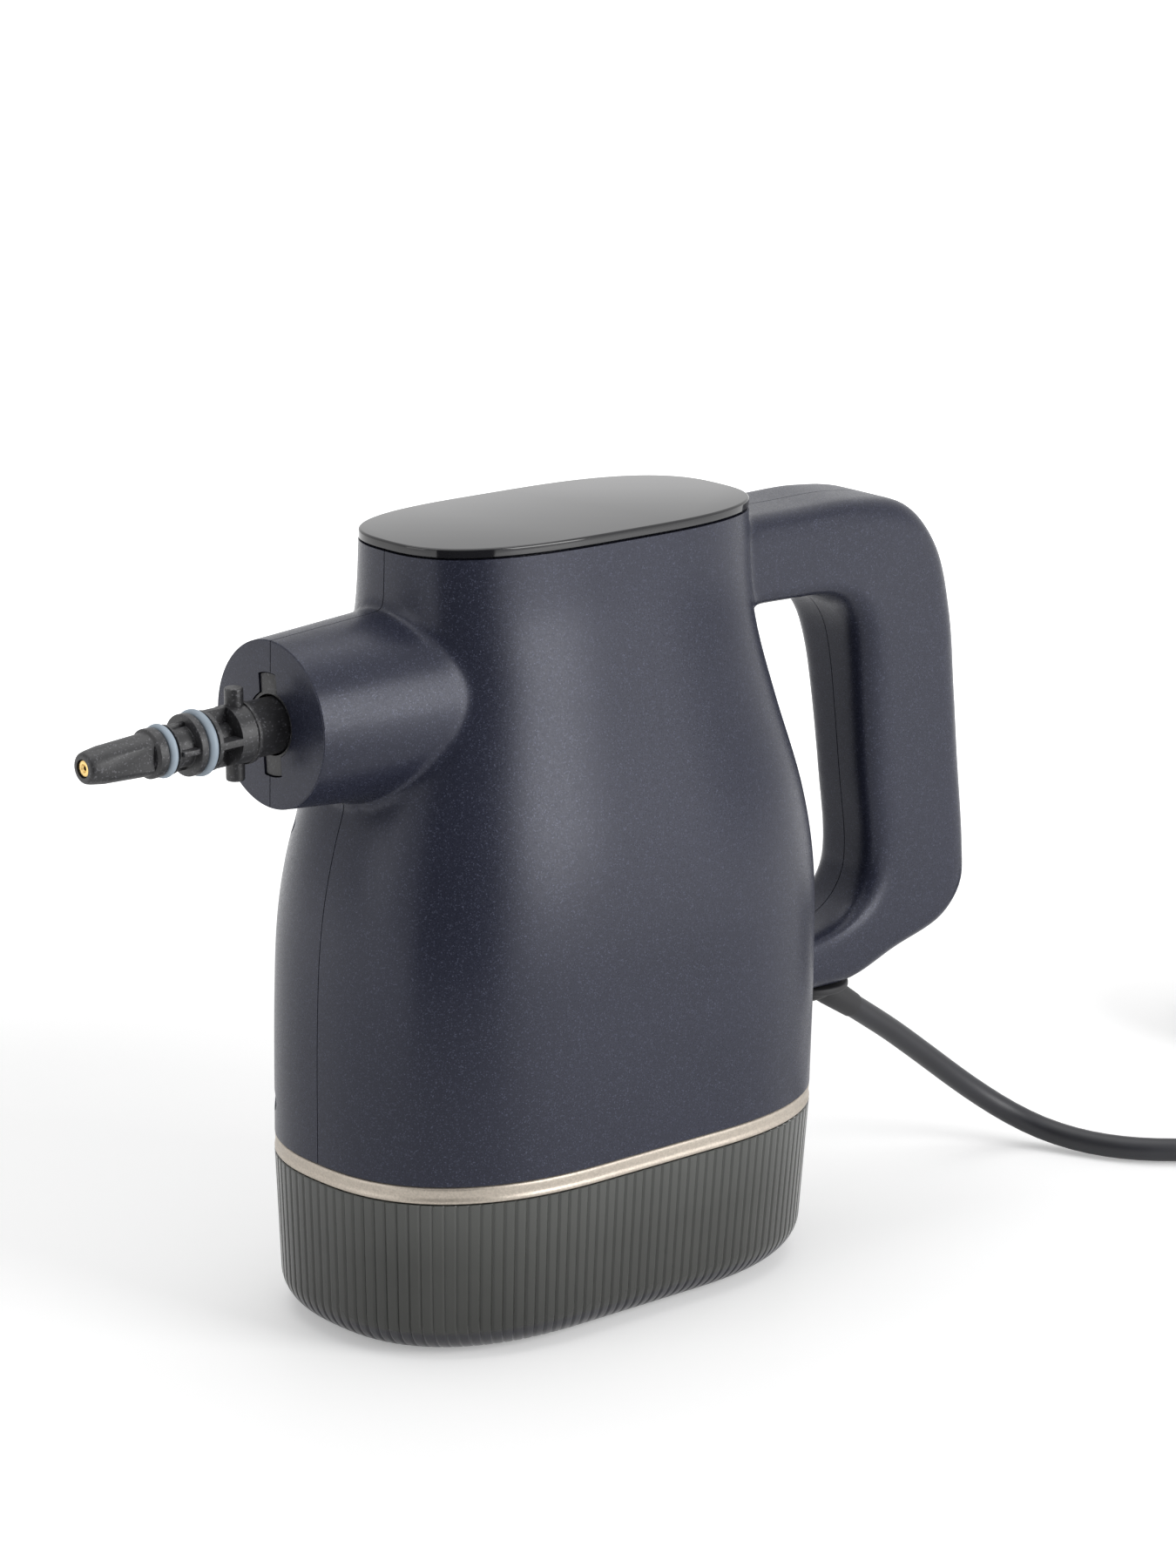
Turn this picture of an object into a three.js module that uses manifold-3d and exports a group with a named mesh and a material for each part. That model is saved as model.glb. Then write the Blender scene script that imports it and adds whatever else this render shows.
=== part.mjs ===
// Handheld steam stripper and cleaner: an upright body with a fluted water tank for a foot, a short
// spout with a bayonet nozzle at the front, a closed loop handle at the back and a touch panel on top.
// Millimetres, +Z up. The origin is the centre of the tank's flat underside; the nozzle points to -X,
// the handle is at +X, and the two body shells part on the plane y = 0.
import * as THREE from "three";
import { mergeVertices } from "three/addons/utils/BufferGeometryUtils.js";
import Module from "manifold-3d";

const wasm = await Module();
wasm.setup();

// ---------------------------------------------------------------------------------------------
// Driving dimensions
// ---------------------------------------------------------------------------------------------
const gap = 0.3; // running and seating clearance between neighbouring pieces
const height = 240; // floor to the top of the touch panel
const tankHeight = 49.3; // floor to the underside of the trim ring
const ringHeight = 5.3;
const panelThickness = 3;
const shellWall = 2.5;
const partingGap = 0.3; // groove between the two shells
const ringBottom = tankHeight;
const ringTop = ringBottom + ringHeight;
const shellBottom = ringTop + gap;
const panelBottom = height - panelThickness;
const shellTop = panelBottom - gap;

// Half length (x) and half width (y) of the body at a few heights; the ends of each outline are
// rounded with a superellipse whose straight middle and exponent change evenly up the body.
const stationsUp = [0, 40.4, 70.4, 95.4, 123.4, 145.4, 163.4, 185.4];
const stationHalfLengths = [89.9, 90.3, 89.1, 84.4, 75.2, 68.6, 66.7, 66.3];
const stationHalfWidths = [52.8, 52.5, 51.8, 48.6, 41.9, 37.2, 33.4, 32];
const stationHeights = stationsUp.map(
  (up) => ringTop + (up * (height - ringTop)) / stationsUp[stationsUp.length - 1],
);
const bodyHalfLength = stationHeights.map((z, i) => [z, stationHalfLengths[i]]);
const bodyHalfWidth = stationHeights.map((z, i) => [z, stationHalfWidths[i]]);
const flatEnds = { bottom: 21.2, top: 6 }; // half length of the straight stretch
const roundness = { bottom: 2.45, top: 2.73 }; // superellipse exponent

const tankWall = 3;
const tankFloor = 3;
const tankTaper = 0.053; // how far the wall leans in per millimetre going down
const tankFootRadius = 11.7;
const fluteCount = 132;
const fluteDepth = 0.45;
const fluteGroove = 1.2; // width of the groove between two flutes
const flutePitch = 3.6;

const spoutFace = -108; // x of the spout's front face
const spoutDrop = 48.3; // from the top of the panel down to the spout's axis
const spoutAxis = height - spoutDrop;
const spoutRadius = 24.75;
const spoutFlare = 0.073; // growth of the radius per millimetre towards the body
const spoutFaceWall = 3;
const spoutHole = 10;
const keyEar = { width: 8, reach: 15.3, recess: 0.4, turn: 6 }; // turned about the spout's axis

const nozzleDroop = 1.6; // degrees below level
const barrelRadius = 8.25;
const steamBore = 1.8;
const lugRadius = 2.75;
const lugReach = 13.7; // from the axis to the end of a lug
const lugAt = 12.8; // distances along the nozzle are from the spout's face
const largeSealAt = 26.6;
const smallSealAt = 39.2;
const nozzleEnd = 66;
const nozzleTail = 12; // length held inside the spout

const barDrop = 8.2; // from the top of the panel down to the handle's upper bar
const barTop = height - barDrop;
const handleWall = 2.5;
const strutRise = 18.6; // from the trim ring up to the strut's flat underside
const strutBottom = ringTop + strutRise;
const glandAt = { x: 110, z: strutBottom }; // centre of the cord gland on the underside of the strut
const cordDrop = 33; // degrees below level at which the cord leaves
const cordDiameter = 7.6;

const screwShank = 1.5;
const screwHead = 3.1;
const screwHeadHeight = 2.2;
const bossRadius = 4.6;

// ---------------------------------------------------------------------------------------------
// Solids
// ---------------------------------------------------------------------------------------------
const radians = THREE.MathUtils.degToRad;

function solidOf(geometry) {
  const bare = geometry.index ? geometry.toNonIndexed() : geometry.clone();
  const positions = new THREE.BufferGeometry();
  positions.setAttribute("position", bare.getAttribute("position"));
  const merged = mergeVertices(positions, 1e-4);
  const mesh = new wasm.Mesh({
    numProp: 3,
    vertProperties: merged.attributes.position.array,
    triVerts: new Uint32Array(merged.index.array),
  });
  return new wasm.Manifold(mesh);
}

function geometryOf(solid) {
  const mesh = solid.asOriginal().simplify(0.02).getMesh();
  const geometry = new THREE.BufferGeometry();
  geometry.setAttribute("position", new THREE.BufferAttribute(new Float32Array(mesh.vertProperties), 3));
  geometry.setIndex(new THREE.BufferAttribute(new Uint32Array(mesh.triVerts), 1));
  const faceted = geometry.toNonIndexed();
  faceted.computeVertexNormals();
  return faceted;
}

const union = (...solids) => solids.reduce((all, one) => all.add(one));

// A closed skin over rings of points with equal counts, each ring going round the same way.
function loft(rings) {
  const count = rings[0].length;
  const positions = [];
  const push = (...points) => points.forEach((p) => positions.push(p.x, p.y, p.z));
  for (let k = 0; k + 1 < rings.length; k++) {
    for (let i = 0; i < count; i++) {
      const j = (i + 1) % count;
      push(rings[k][i], rings[k][j], rings[k + 1][j]);
      push(rings[k][i], rings[k + 1][j], rings[k + 1][i]);
    }
  }
  const middle = (ring) =>
    ring.reduce((sum, p) => sum.add(p), new THREE.Vector3()).divideScalar(count);
  const [first, last] = [rings[0], rings[rings.length - 1]];
  for (let i = 0; i < count; i++) {
    const j = (i + 1) % count;
    push(middle(first), first[j], first[i]);
    push(middle(last), last[i], last[j]);
  }
  const geometry = new THREE.BufferGeometry();
  geometry.setAttribute("position", new THREE.Float32BufferAttribute(positions, 3));
  const solid = solidOf(geometry);
  return solid.volume() < 0 ? loft(rings.map((ring) => [...ring].reverse())) : solid;
}

function block(xFrom, xTo, yFrom, yTo, zFrom, zTo) {
  const geometry = new THREE.BoxGeometry(xTo - xFrom, yTo - yFrom, zTo - zFrom);
  geometry.translate((xFrom + xTo) / 2, (yFrom + yTo) / 2, (zFrom + zTo) / 2);
  return solidOf(geometry);
}

// A block with its four upright edges rounded.
function roundedBlock(xFrom, xTo, yFrom, yTo, zFrom, zTo, radius, steps = 3) {
  const shape = roundedRectangle(xTo - xFrom, yTo - yFrom, radius);
  const geometry = new THREE.ExtrudeGeometry(shape, {
    depth: zTo - zFrom,
    bevelEnabled: false,
    curveSegments: steps,
  });
  geometry.translate((xFrom + xTo) / 2, (yFrom + yTo) / 2, zFrom);
  return solidOf(geometry);
}

function roundedRectangle(length, width, radius) {
  const [a, b] = [length / 2, width / 2];
  const shape = new THREE.Shape();
  shape.moveTo(a - radius, -b);
  shape.absarc(a - radius, radius - b, radius, -Math.PI / 2, 0);
  shape.absarc(a - radius, b - radius, radius, 0, Math.PI / 2);
  shape.absarc(radius - a, b - radius, radius, Math.PI / 2, Math.PI);
  shape.absarc(radius - a, radius - b, radius, Math.PI, 1.5 * Math.PI);
  return shape;
}

// A turned piece: the profile is [distance along the axis, radius] pairs, and the axis points along
// "x", "y" or "z" from the given centre.
function turned(axis, centre, profile, sides = 14) {
  const points = profile.map(([along, radius]) => new THREE.Vector2(radius, along));
  const geometry = new THREE.LatheGeometry(points, sides);
  if (axis === "z") geometry.rotateX(Math.PI / 2);
  if (axis === "x") geometry.rotateZ(-Math.PI / 2);
  geometry.translate(...centre);
  const solid = solidOf(geometry);
  if (solid.volume() > 0) return solid;
  return turned(axis, centre, [...profile].reverse(), sides);
}

const rod = (axis, centre, from, to, radius, sides = 12) =>
  turned(axis, centre, [[from, 0], [from, radius], [to, radius], [to, 0]], sides);

const sleeve = (axis, centre, from, to, outer, inner, sides = 14) =>
  turned(axis, centre, [[from, inner], [from, outer], [to, outer], [to, inner], [from, inner]], sides);

// A pipe, hose or wire of a round section along a smooth line through the points.
function pipe(points, outer, inner = 0, steps = 20, sides = 8) {
  const path = new THREE.CatmullRomCurve3(points.map((p) => new THREE.Vector3(...p)), false, "centripetal");
  const ring = (radius) => {
    const corner = (i) => [
      radius * Math.cos((2 * Math.PI * i) / sides),
      radius * Math.sin((2 * Math.PI * i) / sides),
    ];
    return Array.from({ length: sides }, (_, i) => new THREE.Vector2(...corner(i)));
  };
  const shape = new THREE.Shape(ring(outer));
  if (inner > 0) shape.holes.push(new THREE.Path(ring(inner).reverse()));
  return solidOf(new THREE.ExtrudeGeometry(shape, { steps, extrudePath: path, bevelEnabled: false }));
}

function placed(solid, rotation, position) {
  const matrix = new THREE.Matrix4().makeRotationFromEuler(new THREE.Euler(...rotation.map(radians)));
  matrix.setPosition(...position);
  return solid.transform(matrix.elements);
}

// ---------------------------------------------------------------------------------------------
// The piece list
// ---------------------------------------------------------------------------------------------
const finish = (color, roughness, metalness = 0, opacity = 1) =>
  new THREE.MeshStandardMaterial({ color, roughness, metalness, opacity, transparent: opacity < 1 });

const finishes = {
  body: finish(0x343a48, 0.42, 0.25),
  panel: finish(0x08090b, 0.06),
  champagne: finish(0xc6b8a4, 0.35, 0.8),
  tank: finish(0x4b524c, 0.12, 0, 0.6),
  blackPlastic: finish(0x1a1a1b, 0.55),
  seal: finish(0x8799aa, 0.5),
  brass: finish(0xc9a24a, 0.25, 1),
  rubber: finish(0x202122, 0.8),
  casting: finish(0xa9abad, 0.5, 0.9),
  steel: finish(0xb8bbbd, 0.35, 1),
  board: finish(0x1d5a38, 0.5),
  silicone: finish(0xd8d4cc, 0.6),
  whitePlastic: finish(0xd9d8d2, 0.5),
  cord: finish(0x242528, 0.6),
};

const steamer = new THREE.Group();

function add(name, solid, material) {
  const mesh = new THREE.Mesh(geometryOf(solid), material);
  mesh.name = name;
  steamer.add(mesh);
}

// ---------------------------------------------------------------------------------------------
// Body outline
// ---------------------------------------------------------------------------------------------
// Height to value, along a smooth line through the given pairs.
function along(pairs) {
  const line = new THREE.SplineCurve(pairs.map(([z, value]) => new THREE.Vector2(z, value)));
  const points = line.getPoints(160);
  return (z) => {
    const next = points.findIndex((p) => p.x >= z);
    if (next === 0) return points[0].y;
    if (next < 0) return points[points.length - 1].y;
    const [a, b] = [points[next - 1], points[next]];
    return a.y + ((b.y - a.y) * (z - a.x)) / (b.x - a.x);
  };
}

const halfLengthAt = along(bodyHalfLength);
const halfWidthAt = along(bodyHalfWidth);
const shareUp = (z) => THREE.MathUtils.clamp((z - ringTop) / (height - ringTop), 0, 1);
const flatEndAt = (z) => THREE.MathUtils.lerp(flatEnds.bottom, flatEnds.top, shareUp(z));
const roundnessAt = (z) => THREE.MathUtils.lerp(roundness.bottom, roundness.top, shareUp(z));

// Equally spaced points round the body's outline at height z, drawn in by inset.
function outline(z, inset, count, halfLength = halfLengthAt(z), halfWidth = halfWidthAt(z)) {
  const [flat, power] = [flatEndAt(z), 2 / roundnessAt(z)];
  const [a, b] = [halfLength - inset, halfWidth - inset];
  const fine = Array.from({ length: 720 }, (_, i) => {
    const angle = (2 * Math.PI * i) / 720;
    const [c, s] = [Math.cos(angle), Math.sin(angle)];
    const x = Math.sign(c) * (flat + (a - flat) * Math.abs(c) ** power);
    return new THREE.Vector2(x, Math.sign(s) * b * Math.abs(s) ** power);
  });
  const closed = [...fine, fine[0]];
  const walked = [0];
  for (let i = 1; i < closed.length; i++) walked.push(walked[i - 1] + closed[i].distanceTo(closed[i - 1]));
  const total = walked[walked.length - 1];
  const points = [];
  for (let i = 0, k = 0; i < count; i++) {
    const target = (total * i) / count;
    while (walked[k + 1] < target) k++;
    const share = (target - walked[k]) / (walked[k + 1] - walked[k] || 1);
    points.push(closed[k].clone().lerp(closed[k + 1], share));
  }
  return points;
}

const outlineSides = 30;
const innerSides = 22;
const ringOf = (z, inset, count = outlineSides) =>
  outline(z, inset, count).map((p) => new THREE.Vector3(p.x, p.y, z));

// A slab with the body's outline, drawn in by inset, between two heights.
const slab = (from, to, inset, count = outlineSides) =>
  loft([ringOf(from, inset, count), ringOf(to, inset, count)]);

// y of the body's outer surface at a given x and z, on the +y side.
function surfaceY(x, z) {
  const [a, b, flat, n] = [halfLengthAt(z), halfWidthAt(z), flatEndAt(z), roundnessAt(z)];
  const share = Math.max(0, (Math.abs(x) - flat) / (a - flat));
  return b * (1 - share ** n) ** (1 / n);
}

// ---------------------------------------------------------------------------------------------
// Handle: pairs of points on its inner and outer edge, with its half width there, from the body's
// top round to the strut that returns to the body above the tank. Heights are shares of the handle's.
// ---------------------------------------------------------------------------------------------
const handleHeight = barTop - strutBottom;
const onHandle = (x, share) => [x, strutBottom + share * handleHeight];
const handleStations = [
  { inner: onHandle(48, 0.82156), outer: onHandle(48, 1.), half: 19 },
  { inner: onHandle(82, 0.81967), outer: onHandle(86, 1.), half: 19 },
  { inner: onHandle(97, 0.81463), outer: onHandle(113, 0.99874), half: 19 },
  { inner: onHandle(106, 0.79067), outer: onHandle(133, 0.97289), half: 18.8 },
  { inner: onHandle(112, 0.74464), outer: onHandle(147.5, 0.88146), half: 18 },
  { inner: onHandle(115.6, 0.67339), outer: onHandle(156, 0.73644), half: 16.8 },
  { inner: onHandle(118.6, 0.5599), outer: onHandle(160.6, 0.57881), half: 15.6 },
  { inner: onHandle(122, 0.40858), outer: onHandle(164.5, 0.40858), half: 15 },
  { inner: onHandle(125.2, 0.26986), outer: onHandle(168, 0.23203), half: 15 },
  { inner: onHandle(124.5, 0.20996), outer: onHandle(168, 0.15322), half: 15 },
  { inner: onHandle(119.5, 0.16015), outer: onHandle(160, 0.09079), half: 15 },
  { inner: onHandle(111, 0.12799), outer: onHandle(138, 0.04414), half: 15 },
  { inner: onHandle(99, 0.11223), outer: onHandle(119, 0.00252), half: 15 },
  { inner: onHandle(86, 0.10593), outer: onHandle(98, 0), half: 15 },
  { inner: onHandle(66, 0.10593), outer: onHandle(66, 0), half: 15 },
];
const handleSides = 16;
const handleInnerSides = 8;

function handleSolid(inset, sides, stepsPerStation) {
  const smooth = (pick) => {
    const points = handleStations.map(pick);
    return new THREE.CatmullRomCurve3(points, false, "centripetal");
  };
  const inner = smooth((s) => new THREE.Vector3(s.inner[0], s.half, s.inner[1]));
  const outer = smooth((s) => new THREE.Vector3(s.outer[0], s.half, s.outer[1]));
  const steps = Math.round(stepsPerStation * (handleStations.length - 1));
  const rings = Array.from({ length: steps + 1 }, (_, k) => {
    const [from, to] = [inner.getPoint(k / steps), outer.getPoint(k / steps)];
    const middle = from.clone().lerp(to, 0.5);
    const reach = to.clone().sub(from).setY(0);
    const depth = reach.length() / 2 - inset;
    const width = middle.y - inset;
    reach.normalize();
    return Array.from({ length: sides }, (_, i) => {
      const angle = (2 * Math.PI * (i + 0.5)) / sides;
      const [c, s] = [Math.cos(angle), Math.sin(angle)];
      const u = Math.sign(c) * depth * Math.abs(c) ** 0.5;
      const v = Math.sign(s) * width * Math.abs(s) ** 0.5;
      return new THREE.Vector3(middle.x + reach.x * u, v, middle.z + reach.z * u);
    });
  });
  return loft(rings);
}

// ---------------------------------------------------------------------------------------------
// Spout
// ---------------------------------------------------------------------------------------------
const spoutRadiusAt = (x) => spoutRadius + spoutFlare * (x - spoutFace);
const spoutRoot = -48; // how far back the cone runs before it is lost in the body
const spoutSides = 32;

function spoutSolid(inset, front, edge) {
  const profile = [[front, 0], [front, spoutRadiusAt(front) - inset - edge]];
  if (edge) profile.push([front + edge, spoutRadiusAt(front + edge) - inset]);
  profile.push([spoutRoot, spoutRadiusAt(spoutRoot) - inset], [spoutRoot, 0]);
  return turned("x", [0, 0, spoutAxis], profile, spoutSides);
}

function keyWay(clearance, from, to) {
  const [half, reach] = [keyEar.width / 2 + clearance, keyEar.reach + clearance];
  const ears = placed(block(from, to, -half, half, -reach, reach), [-keyEar.turn, 0, 0], [0, 0, spoutAxis]);
  return rod("x", [0, 0, spoutAxis], from, to, spoutHole + clearance, 20).add(ears);
}

// ---------------------------------------------------------------------------------------------
// Shells
// ---------------------------------------------------------------------------------------------
const upBody = (share) => ringTop + share * (height - ringTop);
const outerShares = [0.218, 0.353, 0.439, 0.515, 0.59, 0.666, 0.73, 0.8];
const innerShares = [0.245, 0.38, 0.515, 0.666, 0.8];
const outerHeights = [shellBottom, ...outerShares.map(upBody), shellTop];
const innerHeights = [shellBottom - 1, ...innerShares.map(upBody), shellTop + 1];
const bodyOuter = loft(outerHeights.map((z) => ringOf(z, 0)));
const bodyInner = loft(innerHeights.map((z) => ringOf(z, shellWall, innerSides)));

const bodyScrews = [
  [-81, ringTop + 10.4], [83, ringTop + 9.4], [-75, upBody(0.515)], [-57, height - 23],
];
const handleScrews = [[97, barTop - 14.3], onHandle(138, 0.648), onHandle(147, 0.232)];
const screwPlaces = [...bodyScrews, ...handleScrews];
const screwHeadAt = 8; // depth of the head's seat on the +y side of the parting plane
const screwTip = -9; // depth of its point on the -y side

// Boiler cradle pegs reach in from both shells.
const boiler = { from: -50, to: 30, half: 24, baseHeight: 18, coverHeight: 19.4, outletHeight: 33.7 };
boiler.bottom = spoutAxis - boiler.outletHeight;
boiler.split = boiler.bottom + boiler.baseHeight;
const gasket = { thickness: 1, wall: 6 };
const boilerCoverBottom = boiler.split + gap + gasket.thickness + gap;
boiler.top = boilerCoverBottom + boiler.coverHeight;
const cradle = { thickness: 2, lip: 9, clearance: gap };
const cradleHalf = boiler.half + cradle.clearance + cradle.thickness;
const cradleBottom = boiler.bottom - cradle.clearance - cradle.thickness;
const pegRadius = 4;
const pegPlaces = [boiler.from + 16, boiler.to - 16];
const pegHeight = cradleBottom + cradle.thickness + cradle.lip / 2;

const flapBox = { front: -76, hinge: -22, bottom: ringTop + 18.4, top: ringTop + 74.4 };
const hingeRadius = 1.9;
const hingePinRadius = 0.9;
const hingeDepth = 0.1; // how far the knuckle sits below the skin
const hingeY = surfaceY(flapBox.hinge, (flapBox.bottom + flapBox.top) / 2) - hingeRadius - hingeDepth;
const hingePinOverrun = 3;

const handleOuter = handleSolid(0, handleSides, 1.4);
const handleHollow = handleSolid(handleWall, handleInnerSides, 1);

function insideShells() {
  return union(bodyInner, handleHollow, spoutSolid(shellWall, spoutFace + spoutFaceWall, 0));
}

function outsideShells() {
  return union(bodyOuter, handleOuter, spoutSolid(0, spoutFace, 0.8));
}

const shellOutside = outsideShells();
const shellInside = insideShells();
const reachY = 70;

// Everything on the +y or the -y side of the parting plane.
const sideOf = (sign) =>
  sign > 0
    ? block(-250, 250, partingGap / 2, reachY, 0, height + 20)
    : block(-250, 250, -reachY, -partingGap / 2, 0, height + 20);

const gland = {
  flange: 10.6, neck: 8.6, collar: 13.4, flangeHeight: 1.6, collarHeight: 2.4, grip: handleWall + 0.8,
};
const glandTop = glandAt.z + gland.grip + gland.flangeHeight;
const glandSeat = gland.grip - gap; // thickness of the strut's floor under the gland's flange
const glandHole = turned("z", [glandAt.x, 0, glandAt.z], [
  [-8, 0], [-8, gland.collar + 1], [0, gland.collar + 1], [0, gland.neck + gap],
  [glandSeat, gland.neck + gap], [glandSeat, gland.flange + gap],
  [gland.grip + gland.flangeHeight + 1, gland.flange + gap], [gland.grip + gland.flangeHeight + 1, 0],
]);

function bosses(sign) {
  const [from, to] = sign > 0 ? [partingGap / 2, reachY] : [-reachY, -partingGap / 2];
  return screwPlaces.map(([x, z]) => rod("y", [x, 0, z], from, to, bossRadius, 8));
}

function shell(sign) {
  const side = sideOf(sign);
  let solid = shellOutside.subtract(shellInside);
  const pegEnds = sign > 0 ? [cradleHalf + gap, reachY] : [-reachY, -cradleHalf - gap];
  const pegs = pegPlaces.map((x) => rod("y", [x, 0, pegHeight], ...pegEnds, pegRadius, 8));
  for (const post of [...bosses(sign), ...pegs]) solid = solid.add(post.intersect(shellOutside));
  solid = solid.subtract(glandHole).subtract(keyWay(0, spoutFace - 1, spoutFace + spoutFaceWall + 1));
  for (const [x, z] of screwPlaces) {
    if (sign > 0) {
      solid = solid.subtract(rod("y", [x, 0, z], -1, screwHeadAt + 1, screwShank + gap, 8));
      solid = solid.subtract(rod("y", [x, 0, z], screwHeadAt, reachY, screwHead + gap, 10));
    } else {
      solid = solid.subtract(rod("y", [x, 0, z], screwTip - 1, 1, screwShank + gap / 2, 8));
    }
  }
  return solid.intersect(side);
}

// ---------------------------------------------------------------------------------------------
// Filler flap on the +y shell: a panel of the body's own skin on an upright hinge at its rear edge
// ---------------------------------------------------------------------------------------------
const flapGap = 0.5;
const bung = { x: -46, z: (flapBox.bottom + flapBox.top) / 2, radius: 7.6, seat: 43.6, length: 2.8 };
const neck = { outer: 11.6, inner: 9.6, mouth: 43, back: 24, foot: ringTop - 1 };

const flapOpening = block(
  flapBox.front, flapBox.hinge + hingeRadius + flapGap, 0, reachY, flapBox.bottom, flapBox.top,
);
const hingeLine = [flapBox.hinge, hingeY, 0];
const pinSeats = union(
  ...[
    [flapBox.bottom - hingePinOverrun - 1.5, flapBox.bottom],
    [flapBox.top, flapBox.top + hingePinOverrun + 1.5],
  ].map(([from, to]) => block(flapBox.hinge - 3.5, flapBox.hinge + 3.5, hingeY - 3.5, hingeY + 2, from, to)),
);

function leftShell() {
  return shell(-1);
}

function rightShell() {
  const pinHole = rod(
    "z", hingeLine, flapBox.bottom - hingePinOverrun, flapBox.top + hingePinOverrun, hingePinRadius + gap, 10,
  );
  return shell(1).add(pinSeats.intersect(bodyOuter)).subtract(flapOpening).subtract(pinHole);
}

function flapHingePin() {
  const [low, high] = [flapBox.bottom - hingePinOverrun, flapBox.top + hingePinOverrun];
  return rod("z", hingeLine, low + gap, high - gap, hingePinRadius, 10);
}

function fillerFlap() {
  const [low, high] = [flapBox.bottom + flapGap, flapBox.top - flapGap];
  const panelBox = block(flapBox.front + flapGap, flapBox.hinge, 0, reachY, low, high);
  const panel = bodyOuter.subtract(bodyInner).intersect(panelBox);
  const knuckle = rod("z", hingeLine, low, high, hingeRadius, 14);
  const stub = rod("y", [bung.x, 0, bung.z], bung.seat, reachY, bung.radius + 1.2, 16);
  return union(panel, knuckle, stub.intersect(bodyOuter)).subtract(
    rod("z", hingeLine, low - 1, high + 1, hingePinRadius + gap, 10),
  );
}

function fillerBung() {
  const face = bung.seat - gap;
  return turned("y", [bung.x, 0, bung.z], [
    [face - bung.length, 0],
    [face - bung.length, bung.radius - 1],
    [face - bung.length + 1, bung.radius],
    [face, bung.radius],
    [face, 0],
  ]);
}

// ---------------------------------------------------------------------------------------------
// Tank, ring, lid and seal
// ---------------------------------------------------------------------------------------------
const tankLean = (z) => tankTaper * (ringBottom - z);
const tankTop = tankHeight - gap;

// Points round the tank at height z: two at the lips of each groove and one at its bottom.
function fluteRing(z, depth, drawnIn = 0) {
  const perFlute = 12;
  const edge = outline(
    ringBottom, tankLean(z) + drawnIn, fluteCount * perFlute, halfLengthAt(ringTop), halfWidthAt(ringTop),
  );
  const count = edge.length;
  const lip = Math.round((perFlute * fluteGroove) / (2 * flutePitch));
  const points = [];
  for (let i = 0; i < count; i += perFlute) {
    for (const [step, sink] of [[-lip, 0], [0, depth], [lip, 0]]) {
      const at = (i + step + count) % count;
      const across = edge[(at + count - 1) % count].clone().sub(edge[(at + 1) % count]).normalize();
      points.push(new THREE.Vector3(edge[at].x + across.y * sink, edge[at].y - across.x * sink, z));
    }
  }
  return points;
}

function waterTank() {
  const drawnIn = (angle) => tankFootRadius * (1 - Math.sin(angle));
  const raised = (angle) => tankFootRadius * (1 - Math.cos(angle));
  const skin = loft([fluteRing(tankFootRadius, fluteDepth), fluteRing(tankTop, fluteDepth)]);
  const footRing = (angle, z = raised(angle)) =>
    outline(
      ringBottom, tankLean(z) + drawnIn(angle) + fluteDepth, outlineSides,
      halfLengthAt(ringTop), halfWidthAt(ringTop),
    ).map((p) => new THREE.Vector3(p.x, p.y, z));
  const quarter = radians(90);
  const foot = loft([
    footRing(0), footRing(quarter * 0.4), footRing(quarter * 0.7), footRing(quarter, tankFootRadius + 0.1),
  ]);
  const inside = (z, drawn) =>
    outline(
      ringBottom, tankLean(z) + tankWall + drawn, innerSides, halfLengthAt(ringTop), halfWidthAt(ringTop),
    ).map((p) => new THREE.Vector3(p.x, p.y, z));
  const hollow = loft([
    inside(tankFloor, tankFootRadius * 0.7), inside(tankFloor + 3, tankFootRadius * 0.2),
    inside(tankFloor + 9, 0), inside(tankHeight + 1, 0),
  ]);
  return skin.add(foot).subtract(hollow);
}

const ringInner = 6;
const trimRing = () => slab(ringBottom, ringTop, 0).subtract(slab(ringBottom - 1, ringTop + 1, ringInner));

const lidPlate = { inset: ringInner + gap, thickness: 4 };
const lidPlug = { inset: tankWall + 3.4, wall: 2.5, depth: 6 };
const hoseHole = { x: 74, y: 0, radius: 4.4 };

function tankLid() {
  const top = ringBottom + lidPlate.thickness;
  const plate = slab(ringBottom - 1.5, top, lidPlate.inset);
  const plug = slab(tankTop - lidPlug.depth, ringBottom, lidPlug.inset, innerSides)
    .subtract(slab(tankTop - lidPlug.depth - 1, ringBottom - 1.5, lidPlug.inset + lidPlug.wall, innerSides));
  const neckHole = rod("z", [bung.x, neck.back, 0], 40, 60, neck.outer + gap, 20);
  const suctionHole = rod("z", [hoseHole.x, hoseHole.y, 0], 40, 60, hoseHole.radius, 12);
  return union(plate, plug).subtract(neckHole).subtract(suctionHole);
}

function tankSeal() {
  const [low, high] = [tankTop - 4.5, tankTop - 1.8];
  const outer = tankWall + tankLean(low) + gap;
  return slab(low, high, outer, innerSides)
    .subtract(slab(low - 1, high + 1, lidPlug.inset - gap, innerSides));
}

function fillerNeck() {
  const middle = bung.z;
  const bend = 15;
  return pipe(
    [
      [bung.x, neck.mouth, middle], [bung.x, neck.back + bend, middle],
      [bung.x, neck.back + bend * 0.3, middle - bend * 0.3], [bung.x, neck.back, middle - bend],
      [bung.x, neck.back, 78], [bung.x, neck.back, neck.foot - 6],
    ],
    neck.outer, neck.inner, 9, 12,
  );
}

// ---------------------------------------------------------------------------------------------
// Top panel and control board
// ---------------------------------------------------------------------------------------------
const skirt = { inset: shellWall + gap, wall: 1.8, depth: 6 };
const board = { half: [46, 19], top: height - 12, thickness: 1.6 };
const postPlaces = [[-38, -13], [-38, 13], [38, -13], [38, 13]];

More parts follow.
